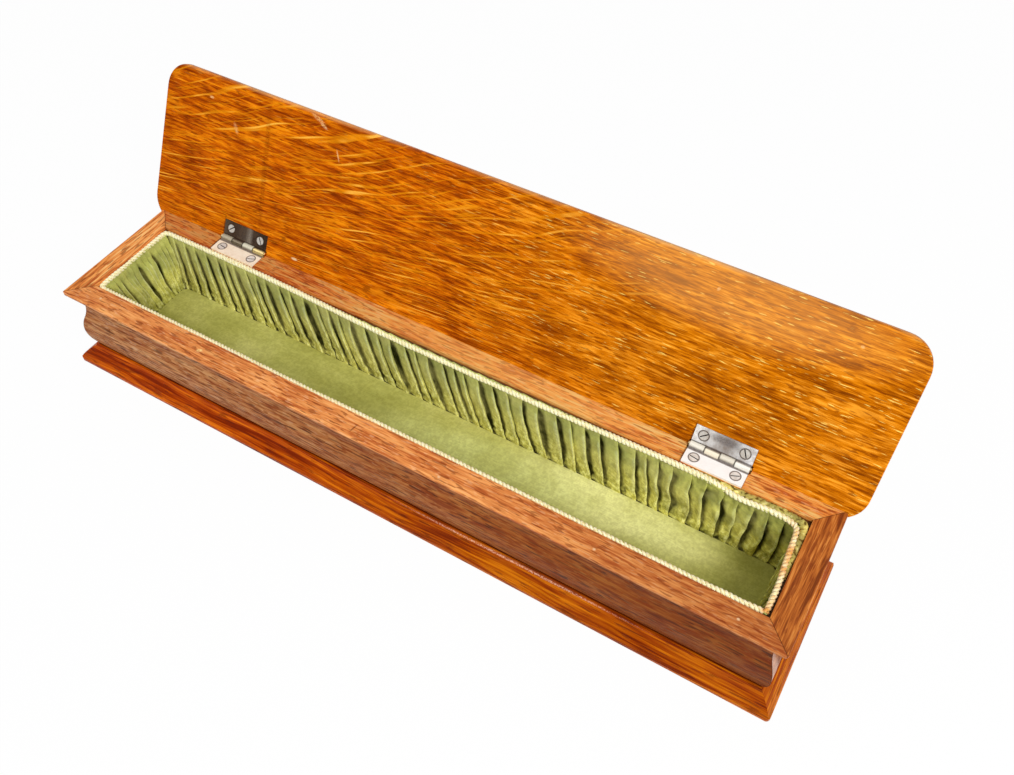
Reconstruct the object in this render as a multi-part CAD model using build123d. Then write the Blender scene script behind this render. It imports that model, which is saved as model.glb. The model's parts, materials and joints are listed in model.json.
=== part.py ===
from build123d import *

import math
import os

# Fan box: a long narrow keepsake box of oak with a moulded body, a moulded base
# plate, a hinged lid and a pleated silk lining. Millimetres, +X to the right,
# +Y to the back, +Z up. The origin is the centre of the base plate's underside.
# The lid is drawn shut and then turned back about the hinge line to its stop.

# Body, measured on the rim outline
body_length = 346.0
body_depth = 67.0
body_height = 36.5
rail_width = 10.7
corner_round = 1.4
mitre_gap = 0.1

# Section of the body's moulding, inset from the rim outline and drop from the rim top
lip_arris = 0.8
lip_edge = 1.8
lip_shelf = 1.1
cove_inset = 4.8
cove_drop = 9.5
belly_inset = 1.0
belly_drop = 26.5
foot_inset = 3.6

# Base plate
base_thickness = 9.0
base_overhang = 4.4
base_edge = 1.6
base_bevel_width = 6.8
base_bevel_bulge = 0.5
base_step = 0.8
base_corner_round = 2.0
base_corner_ease = 0.1

# Lid
lid_thickness = 6.5
lid_side_overhang = 4.8
lid_front_overhang = 6.5
lid_rear_margin = 4.2
lid_corner = 12.0
lid_edge = 2.2
lid_quirk = 0.9
lid_ovolo = 3.6
lid_arris = 0.5
lid_gap = 0.1
open_angle = 120.0

# Hinge line, behind which the back rail is bevelled to let the lid lean back
axis_inset = 1.5
bevel_clearance = 0.6

# Hinges: butt hinges with four knuckles
hinge_length = 25.4
hinge_spacing = 242.0
leaf_width = 9.0
leaf_thickness = 1.0
leaf_fit = 0.15
knuckle_radius = 1.6
knuckle_count = 4
knuckle_gap = 0.15
knuckle_relief = 0.25
pin_radius = 0.8
pin_fit = 0.02
pin_running_fit = 0.06
pin_head_radius = 1.3
pin_head_thickness = 0.5

# Hinge screws
screw_pitch = 17.4
screw_from_axis = 5.4
screw_head_radius = 2.1
screw_head_height = 1.3
screw_shank_radius = 1.0
screw_slot_width = 0.5
screw_slot_depth = 0.45
screw_fit = 0.05
box_screw_length = 9.5
lid_screw_length = 5.4
lid_slot_angles = (38.0, 118.0)
box_slot_angles = (172.0, 25.0)

# Screws that hold the base plate to the long walls
base_screw_spacing = 112.0
base_screw_length = 19.0
base_screw_radius = 1.5
base_screw_head_radius = 3.2
base_screw_head_height = 2.4
base_screw_recess = 0.4

# Brads across the mitres, set below the surface
brad_radius = 0.7
brad_head_radius = 1.1
brad_head_thickness = 0.7
brad_length = 15.0
brad_inset = 7.0
brad_cover = 1.2
brad_heights = (8.0, 19.5)

# Lining: card against each wall and on the floor
card_thickness = 1.2
floor_card_thickness = 1.0
card_fit = 0.1

# Silk walls: each wall is knife pleats, gathered at the top and full at the foot
lining_lift = 0.2
long_pleats = 48
end_pleats = 8
pleat_ridge_share = 0.8
silk_top_base = 0.5
silk_top_pleat = 1.4
silk_middle_base = 1.3
silk_middle_pleat = 1.9
silk_foot_base = 2.8
silk_foot_pleat = 0.8
silk_middle_height = 0.55
silk_middle_skew = 0.35
pleat_skew = 8.0
end_pleat_skew = 1.5
silk_corner_clearance = 0.35

# The silk rolls out from the back wall near the right end
roll_thickness = 2.0
roll_start = 118.0
roll_ramp = 14.0

# Floor pad
pad_thickness = 1.1
pad_crown = 0.6
pad_clearance = 0.35
pad_corner = 2.0

# Trim cord round the opening
trim_radius = 1.0
trim_wall_gap = 0.2
trim_seat_gap = 0.2
trim_below_rim = 0.3
trim_corner = 5.0
trim_join_gap = 0.4
trim_pull = 2.6
trim_bend = 60.0

# Places that follow from the sizes above
rim_top = base_thickness + body_height
axis_y = body_depth / 2 - axis_inset
inner_x = body_length / 2 - rail_width
inner_y = body_depth / 2 - rail_width
card_x = inner_x - card_thickness
card_y = inner_y - card_thickness
floor_top = base_thickness + floor_card_thickness
trim_height = rim_top - trim_below_rim - trim_radius
lining_top = trim_height - trim_radius - trim_seat_gap
lining_foot = floor_top + lining_lift
lid_inner = rim_top + lid_gap
hinge_centres = {"left": -hinge_spacing / 2, "right": hinge_spacing / 2}


def section(*curves):
    """A face in the YZ plane from curves drawn as (y, z)."""
    outline = curves[0]
    for curve in curves[1:]:
        outline = outline + curve
    return Plane.YZ * make_face(outline)


def wall_section():
    """Section of a wall: inset from the rim outline, height above the base plate."""
    top = body_height
    cove = (cove_inset, top - cove_drop)
    belly = (belly_inset, top - belly_drop)
    turn = ((cove[0] + belly[0]) / 2, (cove[1] + belly[1]) / 2)
    shelf = (lip_shelf, top - lip_edge)
    return section(
        Polyline((foot_inset, 0), (rail_width, 0), (rail_width, top), (lip_arris, top)),
        TangentArc((lip_arris, top), (0, top - lip_arris), tangent=(-1, 0)),
        Polyline((0, top - lip_arris), (0, top - lip_edge), shelf),
        TangentArc(cove, shelf, tangent=(0, 1)),
        TangentArc(cove, turn, tangent=(0, -1)),
        TangentArc(belly, turn, tangent=(0, 1)),
        TangentArc(belly, (foot_inset, 0), tangent=(0, -1)),
    )


def mitred_wall(length, depth):
    """A moulded wall along X at the front of a rim of this length and depth."""
    bar = extrude(wall_section(), length / 2, both=True)
    reach = rail_width
    half = length / 2 - mitre_gap / math.sqrt(2)
    plan = Polyline(
        (-half, 0), (half, 0), (half - reach, reach), (-half + reach, reach), close=True
    )
    bar = bar & extrude(make_face(plan), body_height)
    bar = Pos(0, -depth / 2, 0) * bar
    outline = extrude(RectangleRounded(length, depth, corner_round), body_height)
    return Pos(0, 0, base_thickness) * (bar & outline)


def rim_bevel():
    """What is planed off the back rail, so that the open lid's margin has room."""
    lean = math.radians(180 - open_angle)
    reach = lid_rear_margin + bevel_clearance
    low = (axis_y - reach * math.cos(lean), rim_top - reach * math.sin(lean))
    behind = body_depth / 2 + 1
    above = rim_top + 1
    cut = section(
        Polyline(
            (axis_y, rim_top), low, (behind, low[1]), (behind, above), (axis_y, above), close=True
        )
    )
    return extrude(cut, body_length / 2 + 1, both=True)


def rod(radius, length, place):
    """A round bar along +Z from this place."""
    return place * Cylinder(radius, length, align=(Align.CENTER, Align.CENTER, Align.MIN))


def hinge_rod(radius, length, centre):
    """A round bar about the hinge line, centred on a hinge."""
    return Pos(centre, axis_y, rim_top) * Rot(0, 90, 0) * Cylinder(radius, length)


def screw(length, slot_angle):
    """A countersunk slotted screw, head face at the origin and point down."""
    head = Pos(0, 0, -screw_head_height / 2) * Cone(
        screw_shank_radius, screw_head_radius, screw_head_height
    )
    tip = screw_shank_radius
    shank_end = length - tip
    shank = rod(screw_shank_radius, shank_end - screw_head_height, Pos(0, 0, -shank_end))
    point = Pos(0, 0, -shank_end - tip / 2) * Cone(0.1, screw_shank_radius, tip)
    slot = Rot(0, 0, slot_angle) * Box(
        screw_head_radius * 2 + 1, screw_slot_width, screw_slot_depth * 2
    )
    return head + shank + point - slot


def screw_hole(length):
    """The hole that a hinge screw goes into, a little larger all over."""
    head = Pos(0, 0, -screw_head_height / 2) * Cone(
        screw_shank_radius + screw_fit, screw_head_radius + screw_fit, screw_head_height
    )
    mouth = rod(screw_head_radius + screw_fit, 1.0, Pos())
    hole = length + screw_fit
    return head + mouth + rod(screw_shank_radius + screw_fit, hole, Pos(0, 0, -hole))


def screw_places(centre, height, flip):
    """Where a leaf's two screws sit, turned over for the lid's leaf."""
    turn = Rot(180, 0, 0) if flip else Rot(0, 0, 0)
    return [
        Pos(centre + side * screw_pitch / 2, axis_y - screw_from_axis, height) * turn
        for side in (-1, 1)
    ]


def leaf(centre, for_lid):
    """A hinge leaf with its own knuckles, drawn with the lid shut."""
    bottom = lid_inner if for_lid else rim_top - leaf_thickness
    middle = bottom + leaf_thickness / 2
    clear_of_knuckles = knuckle_radius + knuckle_gap
    plate_width = leaf_width - clear_of_knuckles
    plate = Pos(centre, axis_y - clear_of_knuckles - plate_width / 2, middle) * Box(
        hinge_length, plate_width, leaf_thickness
    )
    pitch = hinge_length / knuckle_count
    width = pitch - knuckle_gap
    bore = pin_radius + (pin_running_fit if for_lid else pin_fit)
    for index in range(knuckle_count):
        if (index % 2 == 1) != for_lid:
            continue
        place = centre - hinge_length / 2 + pitch * (index + 0.5)
        plate += hinge_rod(knuckle_radius, width, place)
        plate += Pos(place, axis_y - clear_of_knuckles / 2, middle) * Box(
            width, clear_of_knuckles, leaf_thickness
        )
    plate -= hinge_rod(bore, hinge_length + 1, centre)
    face = lid_inner if for_lid else rim_top
    length = lid_screw_length if for_lid else box_screw_length
    for place in screw_places(centre, face, for_lid):
        plate -= place * screw_hole(length)
    return plate


def leaf_recess(centre, for_lid):
    """The mortise for a leaf, open to the opening, and the groove for its knuckles."""
    length = hinge_length + 2 * leaf_fit
    width = leaf_width + leaf_fit
    reach = width if for_lid else width + rail_width
    bottom = lid_inner - 1 if for_lid else rim_top - leaf_thickness
    mortise = Pos(centre, axis_y - reach / 2, bottom + (leaf_thickness + 1) / 2) * Box(
        length, reach, leaf_thickness + 1
    )
    groove_radius = knuckle_radius + knuckle_relief
    groove_length = hinge_length + 2 * (pin_head_thickness + knuckle_relief)
    return mortise + hinge_rod(groove_radius, groove_length, centre)


def hinge_pin(centre):
    """The pin with its two flattened ends."""
    length = hinge_length + 2 * pin_fit
    pin = hinge_rod(pin_radius, length, centre)
    for side in (-1, 1):
        place = centre + side * (length + pin_head_thickness) / 2
        pin += hinge_rod(pin_head_radius, pin_head_thickness, place)
    return pin


def opened(shape):
    """A piece of the lid, turned back about the hinge line to where the lid rests."""
    turn = Pos(0, axis_y, rim_top) * Rot(-open_angle, 0, 0) * Pos(0, -axis_y, -rim_top)
    return turn * shape


def lid_panel():
    """The lid with its moulded edge and the recesses for both hinges."""
    length = body_length + 2 * lid_side_overhang
    front = -body_depth / 2 - lid_front_overhang
    rear = axis_y + lid_rear_margin
    depth = rear - front
    centre = Pos(0, (front + rear) / 2, lid_inner)
    edge = extrude(RectangleRounded(length, depth, lid_corner), lid_edge)
    edge = fillet(edge.edges().group_by(Axis.Z)[0], lid_arris)
    field = RectangleRounded(
        length - 2 * lid_quirk, depth - 2 * lid_quirk, lid_corner - lid_quirk
    )
    field = Pos(0, 0, lid_edge / 2) * extrude(field, lid_thickness - lid_edge / 2)
    field = fillet(field.edges().group_by(Axis.Z)[-1], lid_ovolo)
    panel = centre * (edge + field)
    for place in hinge_centres.values():
        panel -= leaf_recess(place, True)
        for screw_place in screw_places(place, lid_inner, True):
            panel -= screw_place * screw_hole(lid_screw_length)
    return panel


def base_section(width):
    """Section of the base plate over this width, with its bevel and step at both edges."""
    half = width / 2
    top = base_thickness - base_step
    inner = half - base_bevel_width
    bulge_y = (half + inner) / 2 + base_bevel_bulge
    bulge_z = (base_edge + top) / 2 + base_bevel_bulge
    return section(
        Polyline((-half, base_edge), (-half, 0), (half, 0), (half, base_edge)),
        ThreePointArc((half, base_edge), (bulge_y, bulge_z), (inner, top)),
        Polyline((inner, top), (inner, base_thickness), (-inner, base_thickness), (-inner, top)),
        ThreePointArc((-inner, top), (-bulge_y, bulge_z), (-half, base_edge)),
    )


def base_screw_places():
    """Where the screws stand under the long walls."""
    line = body_depth / 2 - (foot_inset + rail_width) / 2
    return [
        Pos(column * base_screw_spacing, side * line, 0)
        for side in (-1, 1)
        for column in (-1, 0, 1)
    ]


def base_screw(fit):
    """A countersunk wood screw pointing up, or its hole where fit is more than 0."""
    head = Pos(0, 0, base_screw_recess + base_screw_head_height / 2) * Cone(
        base_screw_head_radius + fit, base_screw_radius + fit, base_screw_head_height
    )
    shank = rod(base_screw_radius + fit, base_screw_length + fit, Pos(0, 0, base_screw_recess))
    if fit > 0:
        mouth = base_screw_recess + 1
        return head + shank + rod(base_screw_head_radius + fit, mouth, Pos(0, 0, -1))
    slot = Pos(0, 0, base_screw_recess) * Box(
        base_screw_head_radius * 3, screw_slot_width * 2, screw_slot_depth * 2
    )
    return head + shank - slot


def base_plate():
    """The base plate, whose two mouldings meet in mitres at the corners."""
    length = body_length + 2 * base_overhang
    depth = body_depth + 2 * base_overhang
    along = extrude(base_section(depth), length, both=True)
    across = Rot(0, 0, 90) * extrude(base_section(length), depth, both=True)
    eased_length = length + 2 * base_corner_ease
    eased_depth = depth + 2 * base_corner_ease
    corners = RectangleRounded(eased_length, eased_depth, base_corner_round)
    plate = along & across & extrude(corners, 2 * base_thickness, both=True)
    for place in base_screw_places():
        plate -= place * base_screw(screw_fit)
    return plate


def moulding_inset(height):
    """How far the moulding lies inside the rim outline, this high above the base plate."""
    drop = body_height - height
    half_rise = (belly_drop - cove_drop) / 2
    half_run = (cove_inset - belly_inset) / 2
    radius = (half_rise ** 2 + half_run ** 2) / (2 * half_run)
    if drop > belly_drop:
        foot_rise = body_height - belly_drop
        foot_run = foot_inset - belly_inset
        foot_radius = (foot_rise ** 2 + foot_run ** 2) / (2 * foot_run)
        return belly_inset + (drop - belly_drop) ** 2 / (2 * foot_radius)
    if drop > cove_drop + half_rise:
        return belly_inset + (belly_drop - drop) ** 2 / (2 * radius)
    return cove_inset - (drop - cove_drop) ** 2 / (2 * radius)


def brads(fit):
    """The brads through the side walls into the long walls, or their holes."""
    pieces = []
    for height in brad_heights:
        start = moulding_inset(height) + brad_cover
        shank = rod(brad_radius + fit, brad_length + fit, Pos())
        brad = shank + rod(brad_head_radius + fit, brad_head_thickness + fit, Pos(0, 0, -fit))
        for side_x in (-1, 1):
            turn = Rot(0, -side_x * 90, 0)
            for side_y in (-1, 1):
                place = Pos(
                    side_x * (body_length / 2 - start),
                    side_y * (body_depth / 2 - brad_inset),
                    base_thickness + height,
                )
                pieces.append(place * turn * brad)
    return pieces


def plain_walls():
    """The four walls before the hinges are let in."""
    long_wall = mitred_wall(body_length, body_depth)
    end_wall = mitred_wall(body_depth, body_length)
    walls = {
        "front_wall": long_wall,
        "back_wall": Rot(0, 0, 180) * long_wall,
        "left_wall": Rot(0, 0, -90) * end_wall,
        "right_wall": Rot(0, 0, 90) * end_wall,
    }
    cuts = [place * base_screw(screw_fit) for place in base_screw_places()]
    cuts += brads(pin_fit)
    cuts.append(rim_bevel())
    for name in walls:
        for cut in cuts:
            walls[name] -= cut
    return walls


def back_wall_fitted(wall):
    """The back wall, cut for the box leaves and their screws."""
    for place in hinge_centres.values():
        wall -= leaf_recess(place, False)
        for screw_place in screw_places(place, rim_top, False):
            wall -= screw_place * screw_hole(box_screw_length)
    return wall


def card(length, place):
    """A lining card along X, standing on the floor card at this place."""
    height = lining_top - floor_top
    return place * Box(
        length, card_thickness, height, align=(Align.CENTER, Align.CENTER, Align.MIN)
    )


def lining_cards():
    """The four cards that back the silk walls."""
    long_place = inner_y - card_thickness / 2
    end_place = inner_x - card_thickness / 2
    end_length = 2 * (card_y - card_fit)
    return {
        "front_card": card(2 * inner_x, Pos(0, -long_place, floor_top)),
        "back_card": card(2 * inner_x, Pos(0, long_place, floor_top)),
        "left_card": Pos(-end_place, 0, 0) * Rot(0, 0, 90) * card(end_length, Pos(0, 0, floor_top)),
        "right_card": Pos(end_place, 0, 0) * Rot(0, 0, 90) * card(end_length, Pos(0, 0, floor_top)),
    }


def smooth_step(value):
    """Rises evenly from 0 to 1 as the value does."""
    value = min(max(value, 0.0), 1.0)
    return value * value * (3 - 2 * value)


def silk_outline(half, count, base, pleat, skew, roll, height):
    """One level of a pleated wall, as (along, inwards) from the card's face."""
    def along(share):
        return half * share + skew * (1 - share ** 4)

    def depth(place):
        return base + roll * smooth_step((place - roll_start) / roll_ramp)

    curves = []
    pitch = 2.0 / count
    for index in range(count):
        low = -1 + pitch * index
        start = along(low)
        ridge = along(low + pitch * pleat_ridge_share)
        end = along(low + pitch)
        valley = (start, depth(start))
        crest = (ridge, depth(ridge) + pleat)
        middle = ((start + ridge) / 2, (valley[1] + crest[1]) / 2 + pleat / 5)
        curves.append(ThreePointArc(valley, middle, crest))
        curves.append(Line(crest, (end, depth(end))))
    first = (along(-1), depth(along(-1)))
    last = (along(1), depth(along(1)))
    curves.append(Polyline(last, (last[0], 0), (first[0], 0), first))
    outline = curves[0]
    for curve in curves[1:]:
        outline = outline + curve
    return Pos(0, 0, height) * make_face(outline)


def silk_wall(top_half, foot_half, count, skew, roll):
    """A pleated wall along X, its back on y = 0 and its pleats towards +Y."""
    middle_height = lining_foot + (lining_top - lining_foot) * silk_middle_height
    middle_half = foot_half + (top_half - foot_half) * silk_middle_height
    levels = [
        silk_outline(foot_half, count, silk_foot_base, silk_foot_pleat, skew, 0, lining_foot),
        silk_outline(
            middle_half,
            count,
            silk_middle_base,
            silk_middle_pleat,
            skew * silk_middle_skew,
            0,
            middle_height,
        ),
        silk_outline(top_half, count, silk_top_base, silk_top_pleat, 0, roll, lining_top),
    ]
    return loft(levels, ruled=True)


def silk_walls():
    """The four pleated silk walls, the end ones fitted between the long ones."""
    long_half = card_x - card_fit
    top_depth = silk_top_base + silk_top_pleat + silk_corner_clearance
    foot_depth = silk_foot_base + silk_foot_pleat + silk_corner_clearance
    top_half = card_y - top_depth
    foot_half = card_y - foot_depth
    left = silk_wall(top_half, foot_half, end_pleats, end_pleat_skew, 0)
    right = silk_wall(
        top_half - roll_thickness, foot_half, end_pleats, -end_pleat_skew, 0
    )
    front = silk_wall(long_half, long_half, long_pleats, pleat_skew, 0)
    back = mirror(silk_wall(long_half, long_half, long_pleats, pleat_skew, roll_thickness), Plane.XZ)
    return {
        "front_lining": Pos(0, -card_y, 0) * front,
        "back_lining": Pos(0, card_y, 0) * back,
        "left_lining": Pos(-card_x, 0, 0) * Rot(0, 0, -90) * left,
        "right_lining": Pos(card_x, 0, 0) * Rot(0, 0, 90) * right,
    }


def floor_pad():
    """The silk floor pad, thin at its edges and crowned along the middle."""
    inset = card_fit + silk_foot_base + silk_foot_pleat + pad_clearance
    half_x = card_x - inset
    half_y = card_y - inset
    edge = pad_thickness
    crown = section(
        Polyline((-half_y, edge), (-half_y, 0), (half_y, 0), (half_y, edge)),
        ThreePointArc((-half_y, edge), (0, edge + pad_crown), (half_y, edge)),
    )
    pad = extrude(crown, half_x, both=True)
    plan = RectangleRounded(2 * half_x, 2 * half_y, pad_corner)
    pad = pad & extrude(plan, edge + pad_crown)
    return Pos(0, 0, floor_top) * pad


def trim_cord():
    """The cord round the opening, from one end near the front right corner to the other."""
    offset = trim_radius + trim_wall_gap
    far_x = inner_x - offset
    far_y = inner_y - offset
    pull = trim_pull
    corners = [
        (far_x - trim_corner, -far_y),
        (-far_x, -far_y),
        (-far_x, far_y),
        (roll_start - roll_ramp, far_y),
        (roll_start + roll_ramp, far_y - pull),
        (far_x - trim_corner / 2, far_y - pull / 2),
        (far_x - trim_radius, -far_y + 2 * trim_radius + trim_join_gap),
    ]
    radii = [trim_corner, trim_corner, trim_bend, trim_bend, trim_corner]
    path = Pos(0, 0, trim_height) * FilletPolyline(*corners, radius=radii)
    start = Plane(origin=path @ 0, z_dir=path % 0)
    return sweep(start * Circle(trim_radius), path=path)


def all_nodes():
    """Every node's name and its shape."""
    nodes = {"base_plate": base_plate()}
    walls = plain_walls()
    walls["back_wall"] = back_wall_fitted(walls["back_wall"])
    nodes.update(walls)
    nodes["lid"] = opened(lid_panel())
    for side, centre in hinge_centres.items():
        nodes[side + "_hinge_box_leaf"] = leaf(centre, False)
        nodes[side + "_hinge_lid_leaf"] = opened(leaf(centre, True))
        nodes[side + "_hinge_pin"] = hinge_pin(centre)
        box_screws = [
            place * screw(box_screw_length, angle)
            for place, angle in zip(screw_places(centre, rim_top, False), box_slot_angles)
        ]
        lid_screws = [
            opened(place * screw(lid_screw_length, angle))
            for place, angle in zip(screw_places(centre, lid_inner, True), lid_slot_angles)
        ]
        nodes[side + "_hinge_box_screws"] = Compound(children=box_screws)
        nodes[side + "_hinge_lid_screws"] = Compound(children=lid_screws)
    nodes["base_screws"] = Compound(
        children=[place * base_screw(0) for place in base_screw_places()]
    )
    nodes["mitre_brads"] = Compound(children=brads(0))
    nodes["floor_card"] = Pos(0, 0, base_thickness) * Box(
        2 * (inner_x - card_fit),
        2 * (inner_y - card_fit),
        floor_card_thickness,
        align=(Align.CENTER, Align.CENTER, Align.MIN),
    )
    nodes["floor_pad"] = floor_pad()
    nodes.update(lining_cards())
    nodes.update(silk_walls())
    nodes["trim_cord"] = trim_cord()
    return nodes


os.makedirs("parts", exist_ok=True)
for node, shape in all_nodes().items():
    export_step(shape, f"parts/{node}.step")
    print(node, round(shape.volume, 1))
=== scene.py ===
"""Dresses the fan box: oak, pleated silk, twisted cord and plated hinges, on a pale floor.

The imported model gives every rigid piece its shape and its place. The soft pieces are made
here, in the same frame and in metres, and every surface gets its finish. Sizes that belong to
the look of a surface are in millimetres, because the finishes read a board's own millimetres.
"""

import json
import logging
import math
from dataclasses import dataclass, field, replace
from enum import Enum
from random import Random
from typing import Callable, Iterable, Optional, Sequence, Union

import bpy
from mathutils import Matrix, Vector, noise

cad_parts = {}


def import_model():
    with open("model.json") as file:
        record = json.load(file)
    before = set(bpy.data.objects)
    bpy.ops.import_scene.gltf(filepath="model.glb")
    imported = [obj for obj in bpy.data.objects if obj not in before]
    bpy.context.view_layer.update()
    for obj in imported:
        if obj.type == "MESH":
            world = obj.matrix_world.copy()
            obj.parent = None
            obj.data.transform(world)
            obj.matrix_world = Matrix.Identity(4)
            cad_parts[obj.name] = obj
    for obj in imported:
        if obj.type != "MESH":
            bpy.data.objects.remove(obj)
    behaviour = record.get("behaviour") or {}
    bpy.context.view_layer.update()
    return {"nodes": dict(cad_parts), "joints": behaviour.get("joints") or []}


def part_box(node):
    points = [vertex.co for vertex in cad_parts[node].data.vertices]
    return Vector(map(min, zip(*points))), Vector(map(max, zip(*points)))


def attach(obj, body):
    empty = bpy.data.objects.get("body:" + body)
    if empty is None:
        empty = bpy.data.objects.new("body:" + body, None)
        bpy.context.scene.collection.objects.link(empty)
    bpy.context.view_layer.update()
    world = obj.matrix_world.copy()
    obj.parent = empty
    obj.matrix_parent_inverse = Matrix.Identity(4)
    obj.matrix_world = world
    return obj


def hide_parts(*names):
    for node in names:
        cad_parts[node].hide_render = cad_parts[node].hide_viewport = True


MM = 0.001
UP = Vector((0.0, 0.0, 1.0))
LOG = logging.getLogger("fan_box")

Colour = tuple[float, float, float, float]
Triple = tuple[float, float, float]
Stops = tuple[tuple[float, float], ...]
Material = bpy.types.Material
Node = bpy.types.Node
Piece = bpy.types.Object
Socket = bpy.types.NodeSocket
Tree = bpy.types.NodeTree
Feed = Union[Socket, float, Sequence[float]]


def colour(red: int, green: int, blue: int) -> Colour:
    """Turns a colour as it looks on a screen into the light that it stands for.

    Args:
        red: Red from 0 to 255.
        green: Green from 0 to 255.
        blue: Blue from 0 to 255.

    Returns:
        The linear colour, opaque.
    """
    shares = [value / 255 for value in (red, green, blue)]
    linear = [s / 12.92 if s <= 0.04045 else ((s + 0.055) / 1.055) ** 2.4 for s in shares]
    return (*linear, 1.0)


def colours(*shades: tuple[int, int, int]) -> tuple[Colour, ...]:
    """Several colours, each given as it looks on a screen."""
    return tuple(colour(*shade) for shade in shades)


WHITE = colour(255, 255, 255)


def smooth_step(value: float, low: float = 0.0, high: float = 1.0) -> float:
    """Rises smoothly from 0 to 1 as the value goes from low to high."""
    share = min(max((value - low) / (high - low), 0.0), 1.0)
    return share * share * (3 - 2 * share)


def blend(first: float, second: float, share: float) -> float:
    """The value that lies this share of the way from the first to the second."""
    return first + (second - first) * share


def through(stops: Sequence[tuple[float, float]], place: float) -> float:
    """Reads a smooth curve through a few stops.

    Args:
        stops: Pairs of place and value, in rising order of place.
        place: Where to read the curve.

    Returns:
        The value there, held level outside the first and last stops.
    """
    if place <= stops[0][0]:
        return stops[0][1]
    for (start, low), (end, high) in zip(stops, stops[1:]):
        if place <= end:
            return blend(low, high, smooth_step(place, start, end))
    return stops[-1][1]


class Bench:
    """Places shader nodes in one tree and joins them."""

    def __init__(self, tree: Tree) -> None:
        """Starts work on this tree."""
        self.tree = tree

    def node(self, kind: str, **settings: object) -> Node:
        """Adds a node of this kind and sets its options."""
        node = self.tree.nodes.new(kind)
        for name, value in settings.items():
            setattr(node, name, value)
        return node

    def feed(self, socket: Socket, value: Optional[Feed]) -> None:
        """Joins a socket to another, or sets its value."""
        if isinstance(value, Socket):
            self.tree.links.new(value, socket)
        elif value is not None:
            socket.default_value = value

    def math(self, operation: str, *values: Feed) -> Socket:
        """The result of a sum on one, two or three numbers."""
        node = self.node("ShaderNodeMath", operation=operation)
        for socket, value in zip(node.inputs, values):
            self.feed(socket, value)
        return node.outputs[0]

    def plus(self, first: Feed, second: Feed) -> Socket:
        """The first and the second together."""
        return self.math("ADD", first, second)

    def minus(self, first: Feed, second: Feed) -> Socket:
        """The first less the second."""
        return self.math("SUBTRACT", first, second)

    def times(self, first: Feed, second: Feed) -> Socket:
        """The first as many times as the second says."""
        return self.math("MULTIPLY", first, second)

    def scaled(self, value: Feed, factor: Feed, start: Feed) -> Socket:
        """The value times the factor, plus the start."""
        return self.math("MULTIPLY_ADD", value, factor, start)

    def size_of(self, value: Feed) -> Socket:
        """The value with no sign."""
        return self.math("ABSOLUTE", value)

    def largest(self, first: Feed, second: Feed) -> Socket:
        """The larger of the two."""
        return self.math("MAXIMUM", first, second)

    def vector(self, operation: str, *values: Feed) -> Socket:
        """The result of a sum on one or two vectors."""
        node = self.node("ShaderNodeVectorMath", operation=operation)
        for socket, value in zip(node.inputs, values):
            self.feed(socket, value)
        return node.outputs["Value" if operation == "LENGTH" else "Vector"]

    def join(self, x: Feed, y: Feed, z: Feed = 0.0) -> Socket:
        """A vector from three numbers."""
        node = self.node("ShaderNodeCombineXYZ")
        for socket, value in zip(node.inputs, (x, y, z)):
            self.feed(socket, value)
        return node.outputs[0]

    def split(self, vector: Socket) -> tuple[Socket, Socket, Socket]:
        """The three numbers of a vector."""
        node = self.node("ShaderNodeSeparateXYZ")
        self.feed(node.inputs[0], vector)
        return node.outputs[0], node.outputs[1], node.outputs[2]

    def noise(self, vector: Socket, detail: float = 2.0, roughness: float = 0.5) -> Socket:
        """Cloudy noise with features about one unit across."""
        node = self.node("ShaderNodeTexNoise")
        self.feed(node.inputs["Vector"], vector)
        self.feed(node.inputs["Scale"], 1.0)
        self.feed(node.inputs["Detail"], detail)
        self.feed(node.inputs["Roughness"], roughness)
        return node.outputs["Fac"]

    def cloud(self, where: Socket, size: Feed, detail: float, roughness: float = 0.5) -> Socket:
        """Cloudy noise with features of this size along, across and through."""
        return self.noise(self.vector("DIVIDE", where, size), detail, roughness)

    def step(self, value: Socket, low: Feed, high: Feed) -> Socket:
        """Rises smoothly from 0 at low to 1 at high."""
        node = self.node("ShaderNodeMapRange", interpolation_type="SMOOTHSTEP")
        for name, feed in zip(("Value", "From Min", "From Max"), (value, low, high)):
            self.feed(node.inputs[name], feed)
        return node.outputs[0]

    def mix(self, share: Feed, first: Feed, second: Feed, mode: str = "MIX") -> Socket:
        """Mixes two colours."""
        node = self.node("ShaderNodeMix", data_type="RGBA", blend_type=mode)
        for index, value in ((0, share), (6, first), (7, second)):
            self.feed(node.inputs[index], value)
        return node.outputs[2]

    def ramp(self, value: Socket, stops: Sequence[tuple[float, Colour]]) -> Socket:
        """Turns a number into a colour through a few stops."""
        node = self.node("ShaderNodeValToRGB")
        elements = node.color_ramp.elements
        while len(elements) < len(stops):
            elements.new(1.0)
        for element, (place, tint) in zip(elements, stops):
            element.position = place
            element.color = tint
        self.feed(node.inputs[0], value)
        return node.outputs[0]

    def place(self, group: Tree, **values: Feed) -> Node:
        """Places a shared effect, its inputs given by name with _ for a space."""
        node = self.node("ShaderNodeGroup", node_tree=group)
        for name, value in values.items():
            self.feed(node.inputs[name.replace("_", " ")], value)
        return node

    def bump(self, height: Socket, depth: float, strength: float = 1.0) -> Socket:
        """The normal of a surface with this relief, its depth in millimetres."""
        node = self.node("ShaderNodeBump")
        self.feed(node.inputs["Strength"], strength)
        self.feed(node.inputs["Distance"], depth * MM)
        self.feed(node.inputs["Height"], height)
        return node.outputs[0]


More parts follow.
